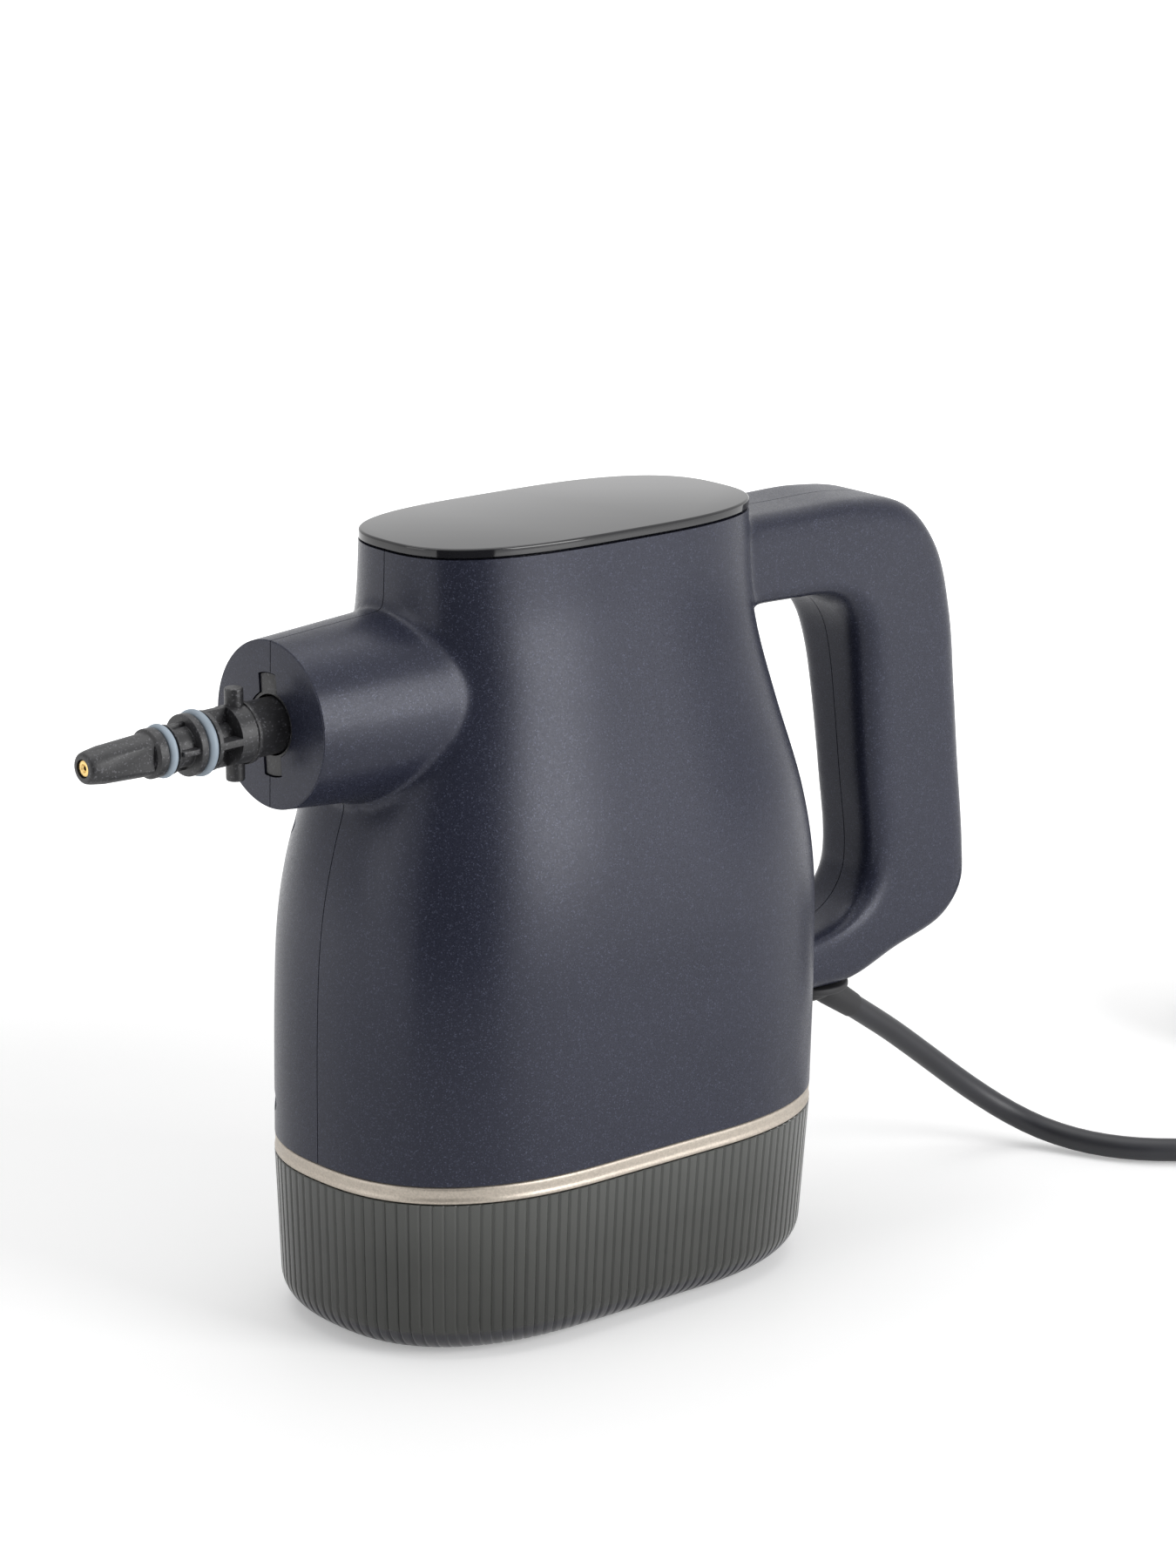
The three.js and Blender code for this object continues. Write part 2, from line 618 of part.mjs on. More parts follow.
function topPanel() {
  const plate = loft([
    ringOf(panelBottom, 0), ringOf(height - 0.6, 0), ringOf(height, 0.6),
  ]);
  const rim = slab(panelBottom - skirt.depth, panelBottom + 0.5, skirt.inset, innerSides)
    .subtract(slab(panelBottom - skirt.depth - 1, panelBottom, skirt.inset + skirt.wall, innerSides));
  const posts = postPlaces.map(([x, y]) => rod("z", [x, y, 0], board.top + gap, panelBottom + 0.5, 2.6, 10));
  return union(plate, rim, ...posts);
}

function controlBoard() {
  const [a, b] = board.half;
  const bottom = board.top - board.thickness;
  return union(
    block(-a, a, -b, b, bottom, board.top),
    block(-30, -14, -8, 8, bottom - 11, bottom + 0.5), // relay
    rod("z", [6, 4, 0], bottom - 13, bottom + 0.5, 5.5, 14), // smoothing capacitor
    block(18, 32, -12, 0, bottom - 8, bottom + 0.5), // supply module
    rod("z", [30, 9, 0], board.top - 0.5, board.top + 4.5, 5, 14), // buzzer
  );
}

// ---------------------------------------------------------------------------------------------
// Nozzle and its mount
// ---------------------------------------------------------------------------------------------
// Nozzle pieces are made on their own axis, with distance ahead of the spout's face along -x, and
// then drooped about the centre of the spout's hole.
const drooped = (solid) => placed(solid, [0, -nozzleDroop, 0], [spoutFace, 0, spoutAxis - 0.2]);
const ahead = (profile, sides) => turned("x", [0, 0, 0], profile.map(([u, r]) => [-u, r]), sides);

const sealSection = { large: 1.5, small: 1.3 };
const largeSealRadius = 8.2; // centre of the rubber's section
const smallSealRadius = 6.5;

function nozzleBlank() {
  const [big, small] = [largeSealAt, smallSealAt];
  return ahead([
    [-nozzleTail, 0], [-nozzleTail, barrelRadius], [9.4, barrelRadius], [9.4, 9.3], [10.8, 9.3],
    [10.8, 8.75], [big - 2, 8.75], [big - 2, 6.4], [big + 2, 6.4], [big + 2, 9], [big + 4.2, 9],
    [big + 4.6, 8.6], [big + 4.6, 6], [small - 2.6, 6], [small - 2.6, 7.2], [small - 1.8, 7.2],
    [small - 1.8, 4.9], [small + 1.8, 4.9], [small + 1.8, 7.2], [small + 4.6, 7.2], [small + 5.2, 6.7],
    [small + 5.2, 6.2], [nozzleEnd - 6, 5.45], [nozzleEnd - 2, 4.85], [nozzleEnd, 4.1], [nozzleEnd, 0],
  ], 16);
}

const jet = { radius: 2.4, bore: 0.7, length: 6, sunk: 0.4 };
const ribHalf = 1; // half thickness of the ribs between the barrel's pockets
const coreRadius = 4.4; // radius left round the steam bore in the pockets
const spannerHalf = 4.95; // half distance between the two flats
const finThickness = 1.6;
const flatFinReach = 8.3;
const uprightFinReach = 7;

// The lower and upper end of the stretch between two distances on one side of a plane.
const sideSpan = (side, near, far) => (side > 0 ? [near, far] : [-far, -near]);

function nozzle() {
  let solid = nozzleBlank().add(rod("z", [-lugAt, 0, 0], -lugReach, lugReach, lugRadius, 12));
  // Four pockets lighten the barrel between the lugs and the large seal, leaving a cross of ribs.
  const pocketFrom = lugAt + lugRadius + 0.8;
  const pocketTo = largeSealAt - 3.4;
  for (const [y, z] of [[1, 1], [1, -1], [-1, 1], [-1, -1]]) {
    const corner = block(-pocketTo, -pocketFrom, ...sideSpan(y, ribHalf, 12), ...sideSpan(z, ribHalf, 12));
    const core = rod("x", [0, 0, 0], -pocketTo - 1, -pocketFrom + 1, coreRadius, 16);
    solid = solid.subtract(corner.subtract(core));
  }
  // Fins across the waist between the two seals.
  const [finFrom, finTo] = [largeSealAt + 4.4, smallSealAt - 2.4];
  const thick = finThickness / 2;
  solid = solid.add(block(-finTo, -finFrom, -flatFinReach, flatFinReach, -thick, thick));
  solid = solid.add(block(-finTo, -finFrom, -thick, thick, -uprightFinReach, uprightFinReach));
  // Two flats on the taper for a spanner.
  const flatFrom = smallSealAt + 5.4;
  for (const side of [1, -1]) {
    solid = solid.subtract(block(-nozzleEnd + 2.5, -flatFrom, ...sideSpan(side, spannerHalf, 12), -12, 12));
  }
  solid = solid.subtract(rod("x", [0, 0, 0], -nozzleEnd - 1, nozzleTail + 1, steamBore, 10));
  const jetSeat = rod("x", [0, 0, 0], -nozzleEnd - 1, -nozzleEnd + jet.length + gap, jet.radius + gap, 16);
  solid = solid.subtract(jetSeat);
  return solid;
}

function steamJet() {
  const [front, back] = [-nozzleEnd + jet.sunk, -nozzleEnd + jet.length];
  return turned("x", [0, 0, 0], [
    [front, jet.bore], [front, jet.radius], [back, jet.radius], [back, jet.bore], [front, jet.bore],
  ]);
}

function sealRing(at, radius, section) {
  const points = Array.from({ length: 7 }, (_, i) => {
    const angle = (2 * Math.PI * i) / 6;
    return [at + section * Math.sin(angle), radius + section * Math.cos(angle)];
  });
  return ahead(points, 16);
}

const mount = {
  front: spoutFace + spoutFaceWall + gap, flange: 3, socket: 13, wall: 3, sleeve: 3.2, lip: 0.8,
};

function nozzleMount() {
  const flangeBack = mount.front + mount.flange;
  const flangeRadius = spoutRadiusAt(mount.front) - shellWall - gap;
  const socketBack = mount.front + mount.socket;
  const flange = rod("x", [0, 0, spoutAxis], mount.front, flangeBack, flangeRadius, 24);
  const socketEnd = socketBack + mount.wall;
  const socket = rod("x", [0, 0, spoutAxis], flangeBack - 0.5, socketEnd, barrelRadius + mount.sleeve, 16);
  const ears = keyWay(-gap, spoutFace + keyEar.recess, mount.front + 0.5);
  const bore = rod("x", [0, 0, 0], -40, nozzleTail + gap, barrelRadius + 0.6, 18);
  const throat = rod("x", [0, 0, 0], 0, 40, steamPipe.outer + gap, 12);
  const mouthRadius = spoutHole - gap - mount.lip;
  const mouth = rod("x", [0, 0, spoutAxis], spoutFace - 1, spoutFace + spoutFaceWall, mouthRadius, 20);
  return union(flange, socket, ears).subtract(drooped(bore)).subtract(mouth)
    .subtract(placed(throat, [0, 0, 0], [spoutFace, 0, spoutAxis]));
}

const steamPipe = { outer: 3.4, inner: 2.2 };

// ---------------------------------------------------------------------------------------------
// Boiler
// ---------------------------------------------------------------------------------------------
const elementRadius = 3.2;
const elementRun = { half: 14, front: boiler.from + 16, back: boiler.to + 12, z: boiler.bottom + 4 };
const outletBoss = { radius: 7.4, front: boiler.from - 9 };
const pipeSink = 6; // how far the steam pipe enters the outlet
const inletBoss = { radius: 5, z: boiler.bottom + 9, front: boiler.from - 5 };

function elementTube(radius, steps, sides) {
  const { half, front, back, z } = elementRun;
  const bend = [150, 180, 210].map((deg) => [
    front + half * 0.9 * Math.cos(radians(deg)), half * Math.sin(radians(deg)), z,
  ]);
  const start = [[back, half, z], [back - 20, half, z], [front + 10, half, z], [front, half - 0.6, z]];
  const end = start.map(([x, y]) => [x, -y, z]).reverse();
  return pipe([...start, ...bend, ...end], radius, 0, steps, sides);
}

const chamberWall = 7;

function castBlock(from, to, wall, radius) {
  const half = boiler.half - wall;
  return roundedBlock(boiler.from + wall, boiler.to - wall, -half, half, from, to, radius);
}

const chamberBlock = (from, to) => castBlock(from, to, chamberWall, 6);

function boilerBase() {
  const b = boiler;
  const body = castBlock(b.bottom, b.split, 0, 9);
  const inlet = rod("x", [0, 0, inletBoss.z], inletBoss.front, b.from + 2, inletBoss.radius, 14);
  const chamber = chamberBlock(b.bottom + 12, b.split + 1);
  const feed = rod("x", [0, 0, inletBoss.z + 4], b.from - 1, b.from + 9, 1.6, 8);
  const { half, front, back, z } = elementRun;
  const room = elementRadius + gap;
  const channel = block(front - half - room, back, -half - room, half + room, b.bottom - 1, z + room)
    .subtract(block(front + 4, back + 1, -half + room, half - room, b.bottom - 2, z + 20));
  return body.add(inlet).subtract(chamber).subtract(feed).subtract(channel)
    .subtract(rod("x", [0, 0, inletBoss.z], inletBoss.front - 1, inletBoss.front + 5, 2.2, 8));
}

function boilerGasket() {
  const b = boiler;
  const [low, high] = [b.split + gap, b.split + gap + gasket.thickness];
  return castBlock(low, high, 0, 9).subtract(castBlock(low - 1, high + 1, gasket.wall, 6));
}

function boilerCover() {
  const b = boiler;
  const body = castBlock(boilerCoverBottom, b.top, 0, 9);
  const boss = rod("x", [0, 0, spoutAxis], outletBoss.front, b.from + 6, outletBoss.radius, 16);
  const rib = { half: 1.2, reach: b.half - 3, height: 3 };
  const ribs = [-30, -18, 0, 22].map((x) =>
    block(x - rib.half, x + rib.half, -rib.reach, rib.reach, b.top - 0.5, b.top + rib.height),
  );
  const chamber = chamberBlock(boilerCoverBottom - 1, b.top - 3);
  const outlet = rod("x", [0, 0, spoutAxis], outletBoss.front - 1, b.from + 9, steamPipe.inner, 10);
  const seatRadius = steamPipe.outer + gap;
  const seatEnd = outletBoss.front + pipeSink;
  const pipeSeat = rod("x", [0, 0, spoutAxis], outletBoss.front - 1, seatEnd, seatRadius, 12);
  return union(body, boss, ...ribs).subtract(chamber).subtract(outlet).subtract(pipeSeat);
}

function steamTube() {
  const [front, back] = [spoutFace + nozzleTail + 4 * gap, outletBoss.front + pipeSink - gap];
  return sleeve("x", [0, 0, spoutAxis], front, back, steamPipe.outer, steamPipe.inner, 12);
}

function boilerCradle() {
  const [low, half] = [cradleBottom, cradleHalf];
  const [from, to] = [boiler.from + 6, boiler.to - 6];
  const floor = block(from, to, -half, half, low, low + cradle.thickness);
  const lips = [-1, 1].map((side) =>
    block(
      from, to, ...sideSpan(side, half - cradle.thickness, half),
      low, low + cradle.thickness + cradle.lip,
    ),
  );
  const vents = [-30, -10, 10].map((x) => block(x - 4, x + 4, -14, 14, low - 1, low + 4));
  return vents.reduce((solid, vent) => solid.subtract(vent), union(floor, ...lips));
}

// ---------------------------------------------------------------------------------------------
// Pump: a solenoid coil round a plastic tube, in which a steel plunger slides
// ---------------------------------------------------------------------------------------------
const pump = {
  z: ringBottom + lidPlate.thickness + 43.7,
  coil: 19, coilFrom: -2, coilTo: 32, tube: 7.5, tubeFrom: -20, tubeTo: 52, bore: 5.6,
};
const plunger = { radius: 5.3, from: 4, length: 30, stroke: 1.5 };
const yoke = { thickness: 2.5, half: 20.5 };

const pumpAxis = [0, 0, pump.z];

const pumpCoil = () =>
  sleeve("x", pumpAxis, pump.coilFrom, pump.coilTo, pump.coil, pump.tube + gap, 24);

function pumpTube() {
  const p = pump;
  return turned("x", pumpAxis, [
    [p.tubeFrom, 1.6], [p.tubeFrom, 4], [p.tubeFrom + 8, 4], [p.tubeFrom + 9, p.tube], [p.tubeTo, p.tube],
    [p.tubeTo, p.bore], [p.tubeFrom + 14, p.bore], [p.tubeFrom + 14, 1.6], [p.tubeFrom, 1.6],
  ]);
}

function pumpYoke() {
  const [y, t] = [yoke.half, yoke.thickness];
  const [from, to] = [pump.coilFrom - gap - t, pump.coilTo + gap + t];
  const [low, high] = [pump.z - y, pump.z + y];
  const cheeks = [[from, from + t], [to - t, to]].map(([a, b]) =>
    block(a, b, -y, y, low, high).subtract(rod("x", pumpAxis, a - 1, b + 1, pump.tube + gap, 20)),
  );
  return union(...cheeks, block(from, to, -y, y, low - t, low));
}

const inletLength = 12;
const hoseBarb = 3;

function pumpInlet() {
  const from = pump.tubeTo + gap;
  const to = from + inletLength;
  return turned("x", pumpAxis, [
    [from, 1.6], [from, 9], [from + 5, 9], [from + 5, hoseBarb], [to, hoseBarb], [to, 1.6], [from, 1.6],
  ]);
}

const pumpPlunger = () =>
  rod("x", pumpAxis, plunger.from, plunger.from + plunger.length, plunger.radius, 16);

function pumpFoot(x) {
  const top = pump.z - yoke.half - yoke.thickness - gap;
  return roundedBlock(x - 4, x + 4, -15, 15, ringBottom + lidPlate.thickness + gap, top, 2.5, 2);
}

// ---------------------------------------------------------------------------------------------
// Cord: gland, strain relief, free stretch, coil and plug
// ---------------------------------------------------------------------------------------------
const exitWay = new THREE.Vector3(Math.cos(radians(cordDrop)), 0, -Math.sin(radians(cordDrop)));
const reliefEnd = 25; // distance from the gland's centre to the end of the strain relief
const relief = { base: 4.7, tip: 4.1, start: 2.5, taperFrom: 14 };
const alongCord = (distance) => [glandAt.x + exitWay.x * distance, 0, glandAt.z + exitWay.z * distance];
const tilted = (solid) => placed(solid, [0, cordDrop, 0], [glandAt.x, 0, glandAt.z]);

function cordGland() {
  const g = gland;
  const spool = turned("z", [glandAt.x, 0, glandAt.z], [
    [-7.5, 0], [-7.1, 4], [-5.4, 7.4], [-g.collarHeight - gap, 9], [-g.collarHeight - gap, g.collar - 0.6],
    [-g.collarHeight + 0.4, g.collar], [-gap - 0.4, g.collar], [-gap, g.collar - 0.5], [-gap, g.neck],
    [g.grip, g.neck], [g.grip, g.flange], [g.grip + g.flangeHeight, g.flange],
    [g.grip + g.flangeHeight, 0],
  ], 14);
  const socket = tilted(rod("x", [0, 0, 0], relief.start - gap, 40, relief.base + gap, 16));
  return spool.subtract(socket);
}

const strainRelief = () =>
  tilted(turned("x", [0, 0, 0], [
    [relief.start, 0], [relief.start, relief.base], [relief.taperFrom, relief.base],
    [reliefEnd, relief.tip], [reliefEnd, 0],
  ], 16));

// The lead lies in a coil beside the handle: loops pile in four layers, spiralling in and out again.
const cordRadius = cordDiameter / 2;
const tieThickness = 0.8;
const coil = {
  centre: [378, 0], middle: 5.5 * cordDiameter, layers: 4, pitch: cordDiameter + 0.75,
  layerHeight: cordDiameter + 0.5, entry: 285, turns: 8 - 15 / 360, lowest: cordRadius + tieThickness + gap,
};

function coilPoint(turn) {
  const perLayer = coil.turns / coil.layers;
  const place = turn / perLayer;
  const sweep = Math.abs(((place + 1) % 2) - 1); // 0 at the outside, 1 at the inside
  const radius = coil.middle + coil.pitch * perLayer * (0.5 - sweep);
  let z = coil.lowest;
  for (let k = 1; k < coil.layers; k++) {
    z += coil.layerHeight * THREE.MathUtils.smoothstep(turn, k * perLayer - 0.25, k * perLayer + 0.25);
  }
  const angle = radians(coil.entry) + 2 * Math.PI * turn;
  return new THREE.Vector3(
    coil.centre[0] + radius * Math.cos(angle), coil.centre[1] + radius * Math.sin(angle), z,
  );
}

const coilWay = (turn) => coilPoint(turn + 1e-4).sub(coilPoint(turn - 1e-4)).setZ(0).normalize();

function coilRoute() {
  const steps = Math.round(coil.turns * 24);
  const route = Array.from({ length: steps + 1 }, (_, i) => coilPoint((coil.turns * i) / steps));
  const start = route[0].clone().addScaledVector(coilWay(1e-4), -cordDiameter);
  const end = route[steps].clone().addScaledVector(coilWay(coil.turns - 1e-4), cordDiameter);
  return [start, ...route, end];
}

// A tube through points, with a section square to the way at each point.
function tubeThrough(route, radius, sides) {
  const up = new THREE.Vector3(0, 0, 1);
  const rings = route.map((point, i) => {
    const way = route[Math.min(i + 1, route.length - 1)].clone().sub(route[Math.max(i - 1, 0)]).normalize();
    const side = new THREE.Vector3().crossVectors(way, up).normalize();
    const over = new THREE.Vector3().crossVectors(side, way);
    return Array.from({ length: sides }, (_, k) => {
      const angle = (2 * Math.PI * k) / sides;
      const across = point.clone().addScaledVector(side, radius * Math.cos(angle));
      return across.addScaledVector(over, radius * Math.sin(angle));
    });
  });
  return loft(rings);
}

function leastCoilGap(route) {
  let least = Infinity;
  for (let i = 0; i < route.length; i++) {
    for (let k = i + 12; k < route.length; k++) least = Math.min(least, route[i].distanceTo(route[k]));
  }
  return least - cordDiameter;
}

const coilLine = coilRoute();
const endGap = 0.5; // between the faces of the coil and of the free stretches
console.log("least gap of the coil to itself:", leastCoilGap(coilLine).toFixed(2), "mm");

const coilStart = coilLine[0].clone().addScaledVector(coilWay(1e-4), -endGap);
const coilEnd = coilLine[coilLine.length - 1].clone().addScaledVector(coilWay(coil.turns - 1e-4), endGap);

// The free stretch, from the strain relief down to the floor and round to the coil.
const freeRoute = [
  alongCord(reliefEnd + gap), alongCord(reliefEnd + 8), [150.2, -0.1, 46.8], [165, -0.6, 35.9],
  [178.7, -2.3, 25.3], [188.8, -5.2, 17.5], [197.2, -10.4, 11.1], [203.8, -18.6, 6.6], [208.8, -29.1, 4.5],
  [213.3, -39.2, 4], [219.4, -48.3, 3.9], [228.2, -56.7, 3.9], [239.7, -64.7, 3.9], [252.2, -70.3, 3.9],
  [265.8, -72.8, 3.9], [282.8, -72.9, 3.9], [301.9, -70.8, 3.9], [321.9, -66.8, 4], [342.1, -61.5, 4.3],
  [360, -56.4, 4.6],
  alongBack(coilStart, coilWay(1e-4), 8), alongBack(coilStart, coilWay(1e-4), 4), coilStart.toArray(),
];

function alongBack(point, way, distance) {
  return point.clone().addScaledVector(way, -distance).toArray();
}

// The short end of the lead, down from the top of the coil to the plug, which lies straight ahead.
const plug = { ahead: 94.5, half: 25, rear: 21, thick: 21, entryHeight: 10, sleeve: 12 };
const endFall = [
  [0, coilEnd.z], [4, coilEnd.z], [13, 28.6], [19, 26.95], [25, 24.2], [31.5, 19.6], [38, 15], [44, 12.2],
  [50, 10.6],
];
const entryAhead = plug.ahead - plug.rear - plug.sleeve - gap;
const endRoute = [...endFall, [entryAhead - 4, plug.entryHeight], [entryAhead, plug.entryHeight]].map(
  ([ahead, height]) => [coilEnd.x + ahead, coilEnd.y, height],
);

const vectors = (points) => points.map((p) => new THREE.Vector3(...p));
const lengthOf = (points) => new THREE.CatmullRomCurve3(vectors(points), false, "centripetal").getLength();
const coilLength = coilLine.reduce((sum, p, i) => (i ? sum + p.distanceTo(coilLine[i - 1]) : 0), 0);
console.log(
  "cord length:", (lengthOf(freeRoute) + coilLength + lengthOf(endRoute)).toFixed(0), "mm, of which free:",
  lengthOf(freeRoute).toFixed(0), "coil:", coilLength.toFixed(0), "end:", lengthOf(endRoute).toFixed(0),
);

function freeTube(points, steps) {
  const path = new THREE.CatmullRomCurve3(vectors(points), false, "centripetal");
  return tubeThrough(path.getSpacedPoints(steps), cordRadius, 8);
}

function cordTie() {
  const perLayer = coil.turns / coil.layers;
  const across = coil.pitch * perLayer + cordDiameter + 2 * gap + 1;
  const tall = coil.layerHeight * (coil.layers - 1) + cordDiameter + 2 * gap + 0.6;
  const outer = roundedRectangle(across + 2 * tieThickness, tall + 2 * tieThickness, 4);
  outer.holes.push(roundedRectangle(across, tall, 3.4));
  const width = 8;
  const geometry = new THREE.ExtrudeGeometry(outer, { depth: width, bevelEnabled: false, curveSegments: 2 });
  geometry.translate(coil.middle, tall / 2 + tieThickness, -width / 2);
  geometry.rotateX(Math.PI / 2);
  geometry.rotateZ(radians(115));
  geometry.translate(coil.centre[0], coil.centre[1], 0);
  return solidOf(geometry);
}

// Moulded three-pin plug lying on its back, pins up.
const pins = { earth: [4, 8, 22.7], power: [6.4, 4, 17.7], spread: 11.1, rise: 22.2, below: 9, root: 5 };
const fuse = { half: 4, from: -15, to: 5, depth: 2.5 };

function plugBody() {
  const shape = new THREE.Shape();
  const [h, r] = [plug.half, plug.rear];
  shape.moveTo(-14, -r);
  shape.lineTo(14, -r);
  shape.lineTo(h - 2, -r + 12);
  shape.quadraticCurveTo(h, -r + 13, h, -r + 16);
  shape.lineTo(h, r - 4);
  shape.quadraticCurveTo(h, r + 2, h - 6, r + 2);
  shape.lineTo(-h + 6, r + 2);
  shape.quadraticCurveTo(-h, r + 2, -h, r - 4);
  shape.lineTo(-h, -r + 16);
  shape.quadraticCurveTo(-h, -r + 13, -h + 2, -r + 12);
  const bevel = 1.5;
  const geometry = new THREE.ExtrudeGeometry(shape, {
    depth: plug.thick - 2 * bevel,
    bevelThickness: bevel,
    bevelSize: bevel,
    bevelOffset: -bevel,
    bevelSegments: 1,
    curveSegments: 3,
  });
  geometry.translate(0, 0, bevel);
  let solid = solidOf(geometry);
  for (const [x, y, size] of pinPlaces()) {
    const [a, b] = [size[0] / 2 + gap, size[1] / 2 + gap];
    solid = solid.subtract(block(x - a, x + a, y - b, y + b, plug.thick - pins.root, plug.thick + 1));
  }
  const sleeveHole = rod("y", [0, -plug.rear, plug.entryHeight], -1, 4, 4.6 + gap, 14);
  const fuseHole = block(
    -fuse.half - gap, fuse.half + gap, fuse.from - gap, fuse.to + gap,
    plug.thick - fuse.depth, plug.thick + 1,
  );
  return atPlug(solid.subtract(sleeveHole).subtract(fuseHole));
}

// The plug is drawn with its front toward +y about the middle of its foot, then set down ahead of the lead.
const atPlug = (solid) => placed(solid, [0, 0, -90], [coilEnd.x + plug.ahead, coilEnd.y, 0]);

function pinPlaces() {
  return [
    [0, pins.rise - pins.below, pins.earth],
    [pins.spread, -pins.below, pins.power],
    [-pins.spread, -pins.below, pins.power],
  ];
}

function plugPin([x, y, [wide, deep, proud]]) {
  const from = plug.thick - pins.root + gap;
  return atPlug(block(x - wide / 2, x + wide / 2, y - deep / 2, y + deep / 2, from, plug.thick + proud));
}

function fuseCarrier() {
  const [low, high] = [plug.thick - fuse.depth + gap, plug.thick];
  return atPlug(block(-fuse.half, fuse.half, fuse.from, fuse.to, low, high));
}

function plugSleeve() {
  return atPlug(turned("y", [0, -plug.rear, plug.entryHeight], [
    [-plug.sleeve, 0], [-plug.sleeve, 4.1], [0, 4.6], [4 - gap, 4.6], [4 - gap, 0],
  ], 14));
}

// ---------------------------------------------------------------------------------------------
// Screws, wiring and small parts
// ---------------------------------------------------------------------------------------------
const screwSeat = screwHeadAt + gap;

const shellScrew = ([x, z]) =>
  turned("y", [x, 0, z], [
    [screwTip, 0], [screwTip + 2.5, screwShank], [screwSeat, screwShank], [screwSeat, screwHead],
    [screwSeat + screwHeadHeight * 0.6, screwHead],
    [screwSeat + screwHeadHeight, screwHead * 0.6], [screwSeat + screwHeadHeight, 0],
  ], 8);

const lidTop = ringBottom + lidPlate.thickness;
const terminal = { from: [44, -34], to: [62, -8], height: 14 };
const terminalTop = lidTop + gap + terminal.height;

function terminalBlock() {
  const [[x0, y0], [x1, y1]] = [terminal.from, terminal.to];
  let solid = block(x0, x1, y0, y1, lidTop + gap, terminalTop);
  for (let i = 0; i < 3; i++) {
    const place = [(x0 + x1) / 2, y0 + 5 + i * 8, 0];
    solid = solid.subtract(rod("z", place, terminalTop - 6, terminalTop + 1, 2.2, 8));
  }
  return solid;
}

const suctionHose = () =>
  pipe(
    [
      [pump.tubeTo + inletLength + 2 * gap, 0, pump.z], [pump.tubeTo + inletLength + 4, 0, pump.z],
      [hoseHole.x - 1.5, 0, pump.z - 5],
      [hoseHole.x, 0, pump.z - 14], [hoseHole.x, 0, lidTop + 8.7], [hoseHole.x, 0, ringBottom - 4.3],
      [70, 0, ringBottom - 23.3], [60, 0, tankFloor + 10],
      [51, 0, tankFloor + gap + 6],
    ],
    3, 1.8, 12, 6,
  );

const intakeFilter = () =>
  turned("x", [0, 0, tankFloor + gap + 6], [
    [30, 0], [30, 5], [31, 6], [44, 6], [45, 5], [50, 4.2], [50, 0],
  ], 16);

const deliveryHose = () =>
  pipe(
    [
      [pump.tubeFrom - gap, 0, pump.z], [pump.tubeFrom - 12, 0, pump.z + 0.5], [-50, 0, pump.z + 6],
      [-61, 0, pump.z + 21], [-66, 0, inletBoss.z - 29], [-66.5, 0, inletBoss.z - 11],
      [-64, 0, inletBoss.z - 1.5], [inletBoss.front - 5, 0, inletBoss.z],
      [inletBoss.front - gap, 0, inletBoss.z],
    ],
    2.8, 1.6, 12, 6,
  );

const innerLead = () =>
  pipe(
    [
      [glandAt.x, 0, glandTop + gap], [glandAt.x, 0, glandTop + 2], [107, -0.3, glandTop + 4.5],
      [100, -1.5, glandTop + 4.9], [89, -3.4, glandTop + 3.9], [82, -8, glandTop - 0.6],
      [75, -16, terminalTop + 0.4], [terminal.to[0] + 7, -20, terminalTop - 5.1],
      [terminal.to[0] + 4, -20, terminalTop - 6.6], [terminal.to[0] + gap, -20, terminalTop - 6.6],
    ],
    2.4, 0, 14, 6,
  );

const boardLead = () =>
  pipe(
    [
      [43, -10, board.top - board.thickness - gap], [43, -10, board.top - 8], [50, -7, spoutAxis - 1.7],
      [60, -7, boiler.bottom - 8], [60, -12, pump.z + 13],
      [57, -14, 84], [57, -14, terminalTop + gap],
    ],
    1.8, 0, 15, 6,
  );

const heaterLead = () =>
  pipe(
    [
      [elementRun.back + gap, -elementRun.half, elementRun.z],
      [elementRun.back + 6, -elementRun.half, elementRun.z],
      [54, -17, elementRun.z - 12], [50, -27, pump.z + 23], [48.5, -29, pump.z - 2],
      [48, -29, terminalTop + 12.1], [48, -29, terminalTop + gap],
    ],
    1.8, 0, 14, 6,
  );

const thermostat = () =>
  turned("z", [10, 0, boiler.top + gap], [[0, 0], [0, 8], [4, 8], [4.6, 6.5], [8, 6.5], [8, 0]], 18);

const thermalFuse = () => rod("y", [-9, 0, boiler.top + gap + 2.2], -8, 8, 2.2, 10);

// ---------------------------------------------------------------------------------------------
// Assembly
// ---------------------------------------------------------------------------------------------
add("left_shell", leftShell(), finishes.body);
add("right_shell", rightShell(), finishes.body);
add("top_panel", topPanel(), finishes.panel);
add("control_board", controlBoard(), finishes.board);
add("trim_ring", trimRing(), finishes.champagne);
add("water_tank", waterTank(), finishes.tank);
add("tank_lid", tankLid(), finishes.blackPlastic);
add("tank_seal", tankSeal(), finishes.rubber);
add("filler_neck", fillerNeck(), finishes.blackPlastic);
add("filler_flap", fillerFlap(), finishes.body);
add("filler_bung", fillerBung(), finishes.rubber);
add("flap_hinge_pin", flapHingePin(), finishes.steel);

add("nozzle", drooped(nozzle()), finishes.blackPlastic);
add("nozzle_seal_large", drooped(sealRing(largeSealAt, largeSealRadius, sealSection.large)), finishes.seal);
add("nozzle_seal_small", drooped(sealRing(smallSealAt, smallSealRadius, sealSection.small)), finishes.seal);
add("steam_jet", drooped(steamJet()), finishes.brass);
add("nozzle_mount", nozzleMount(), finishes.blackPlastic);
add("steam_pipe", steamTube(), finishes.steel);

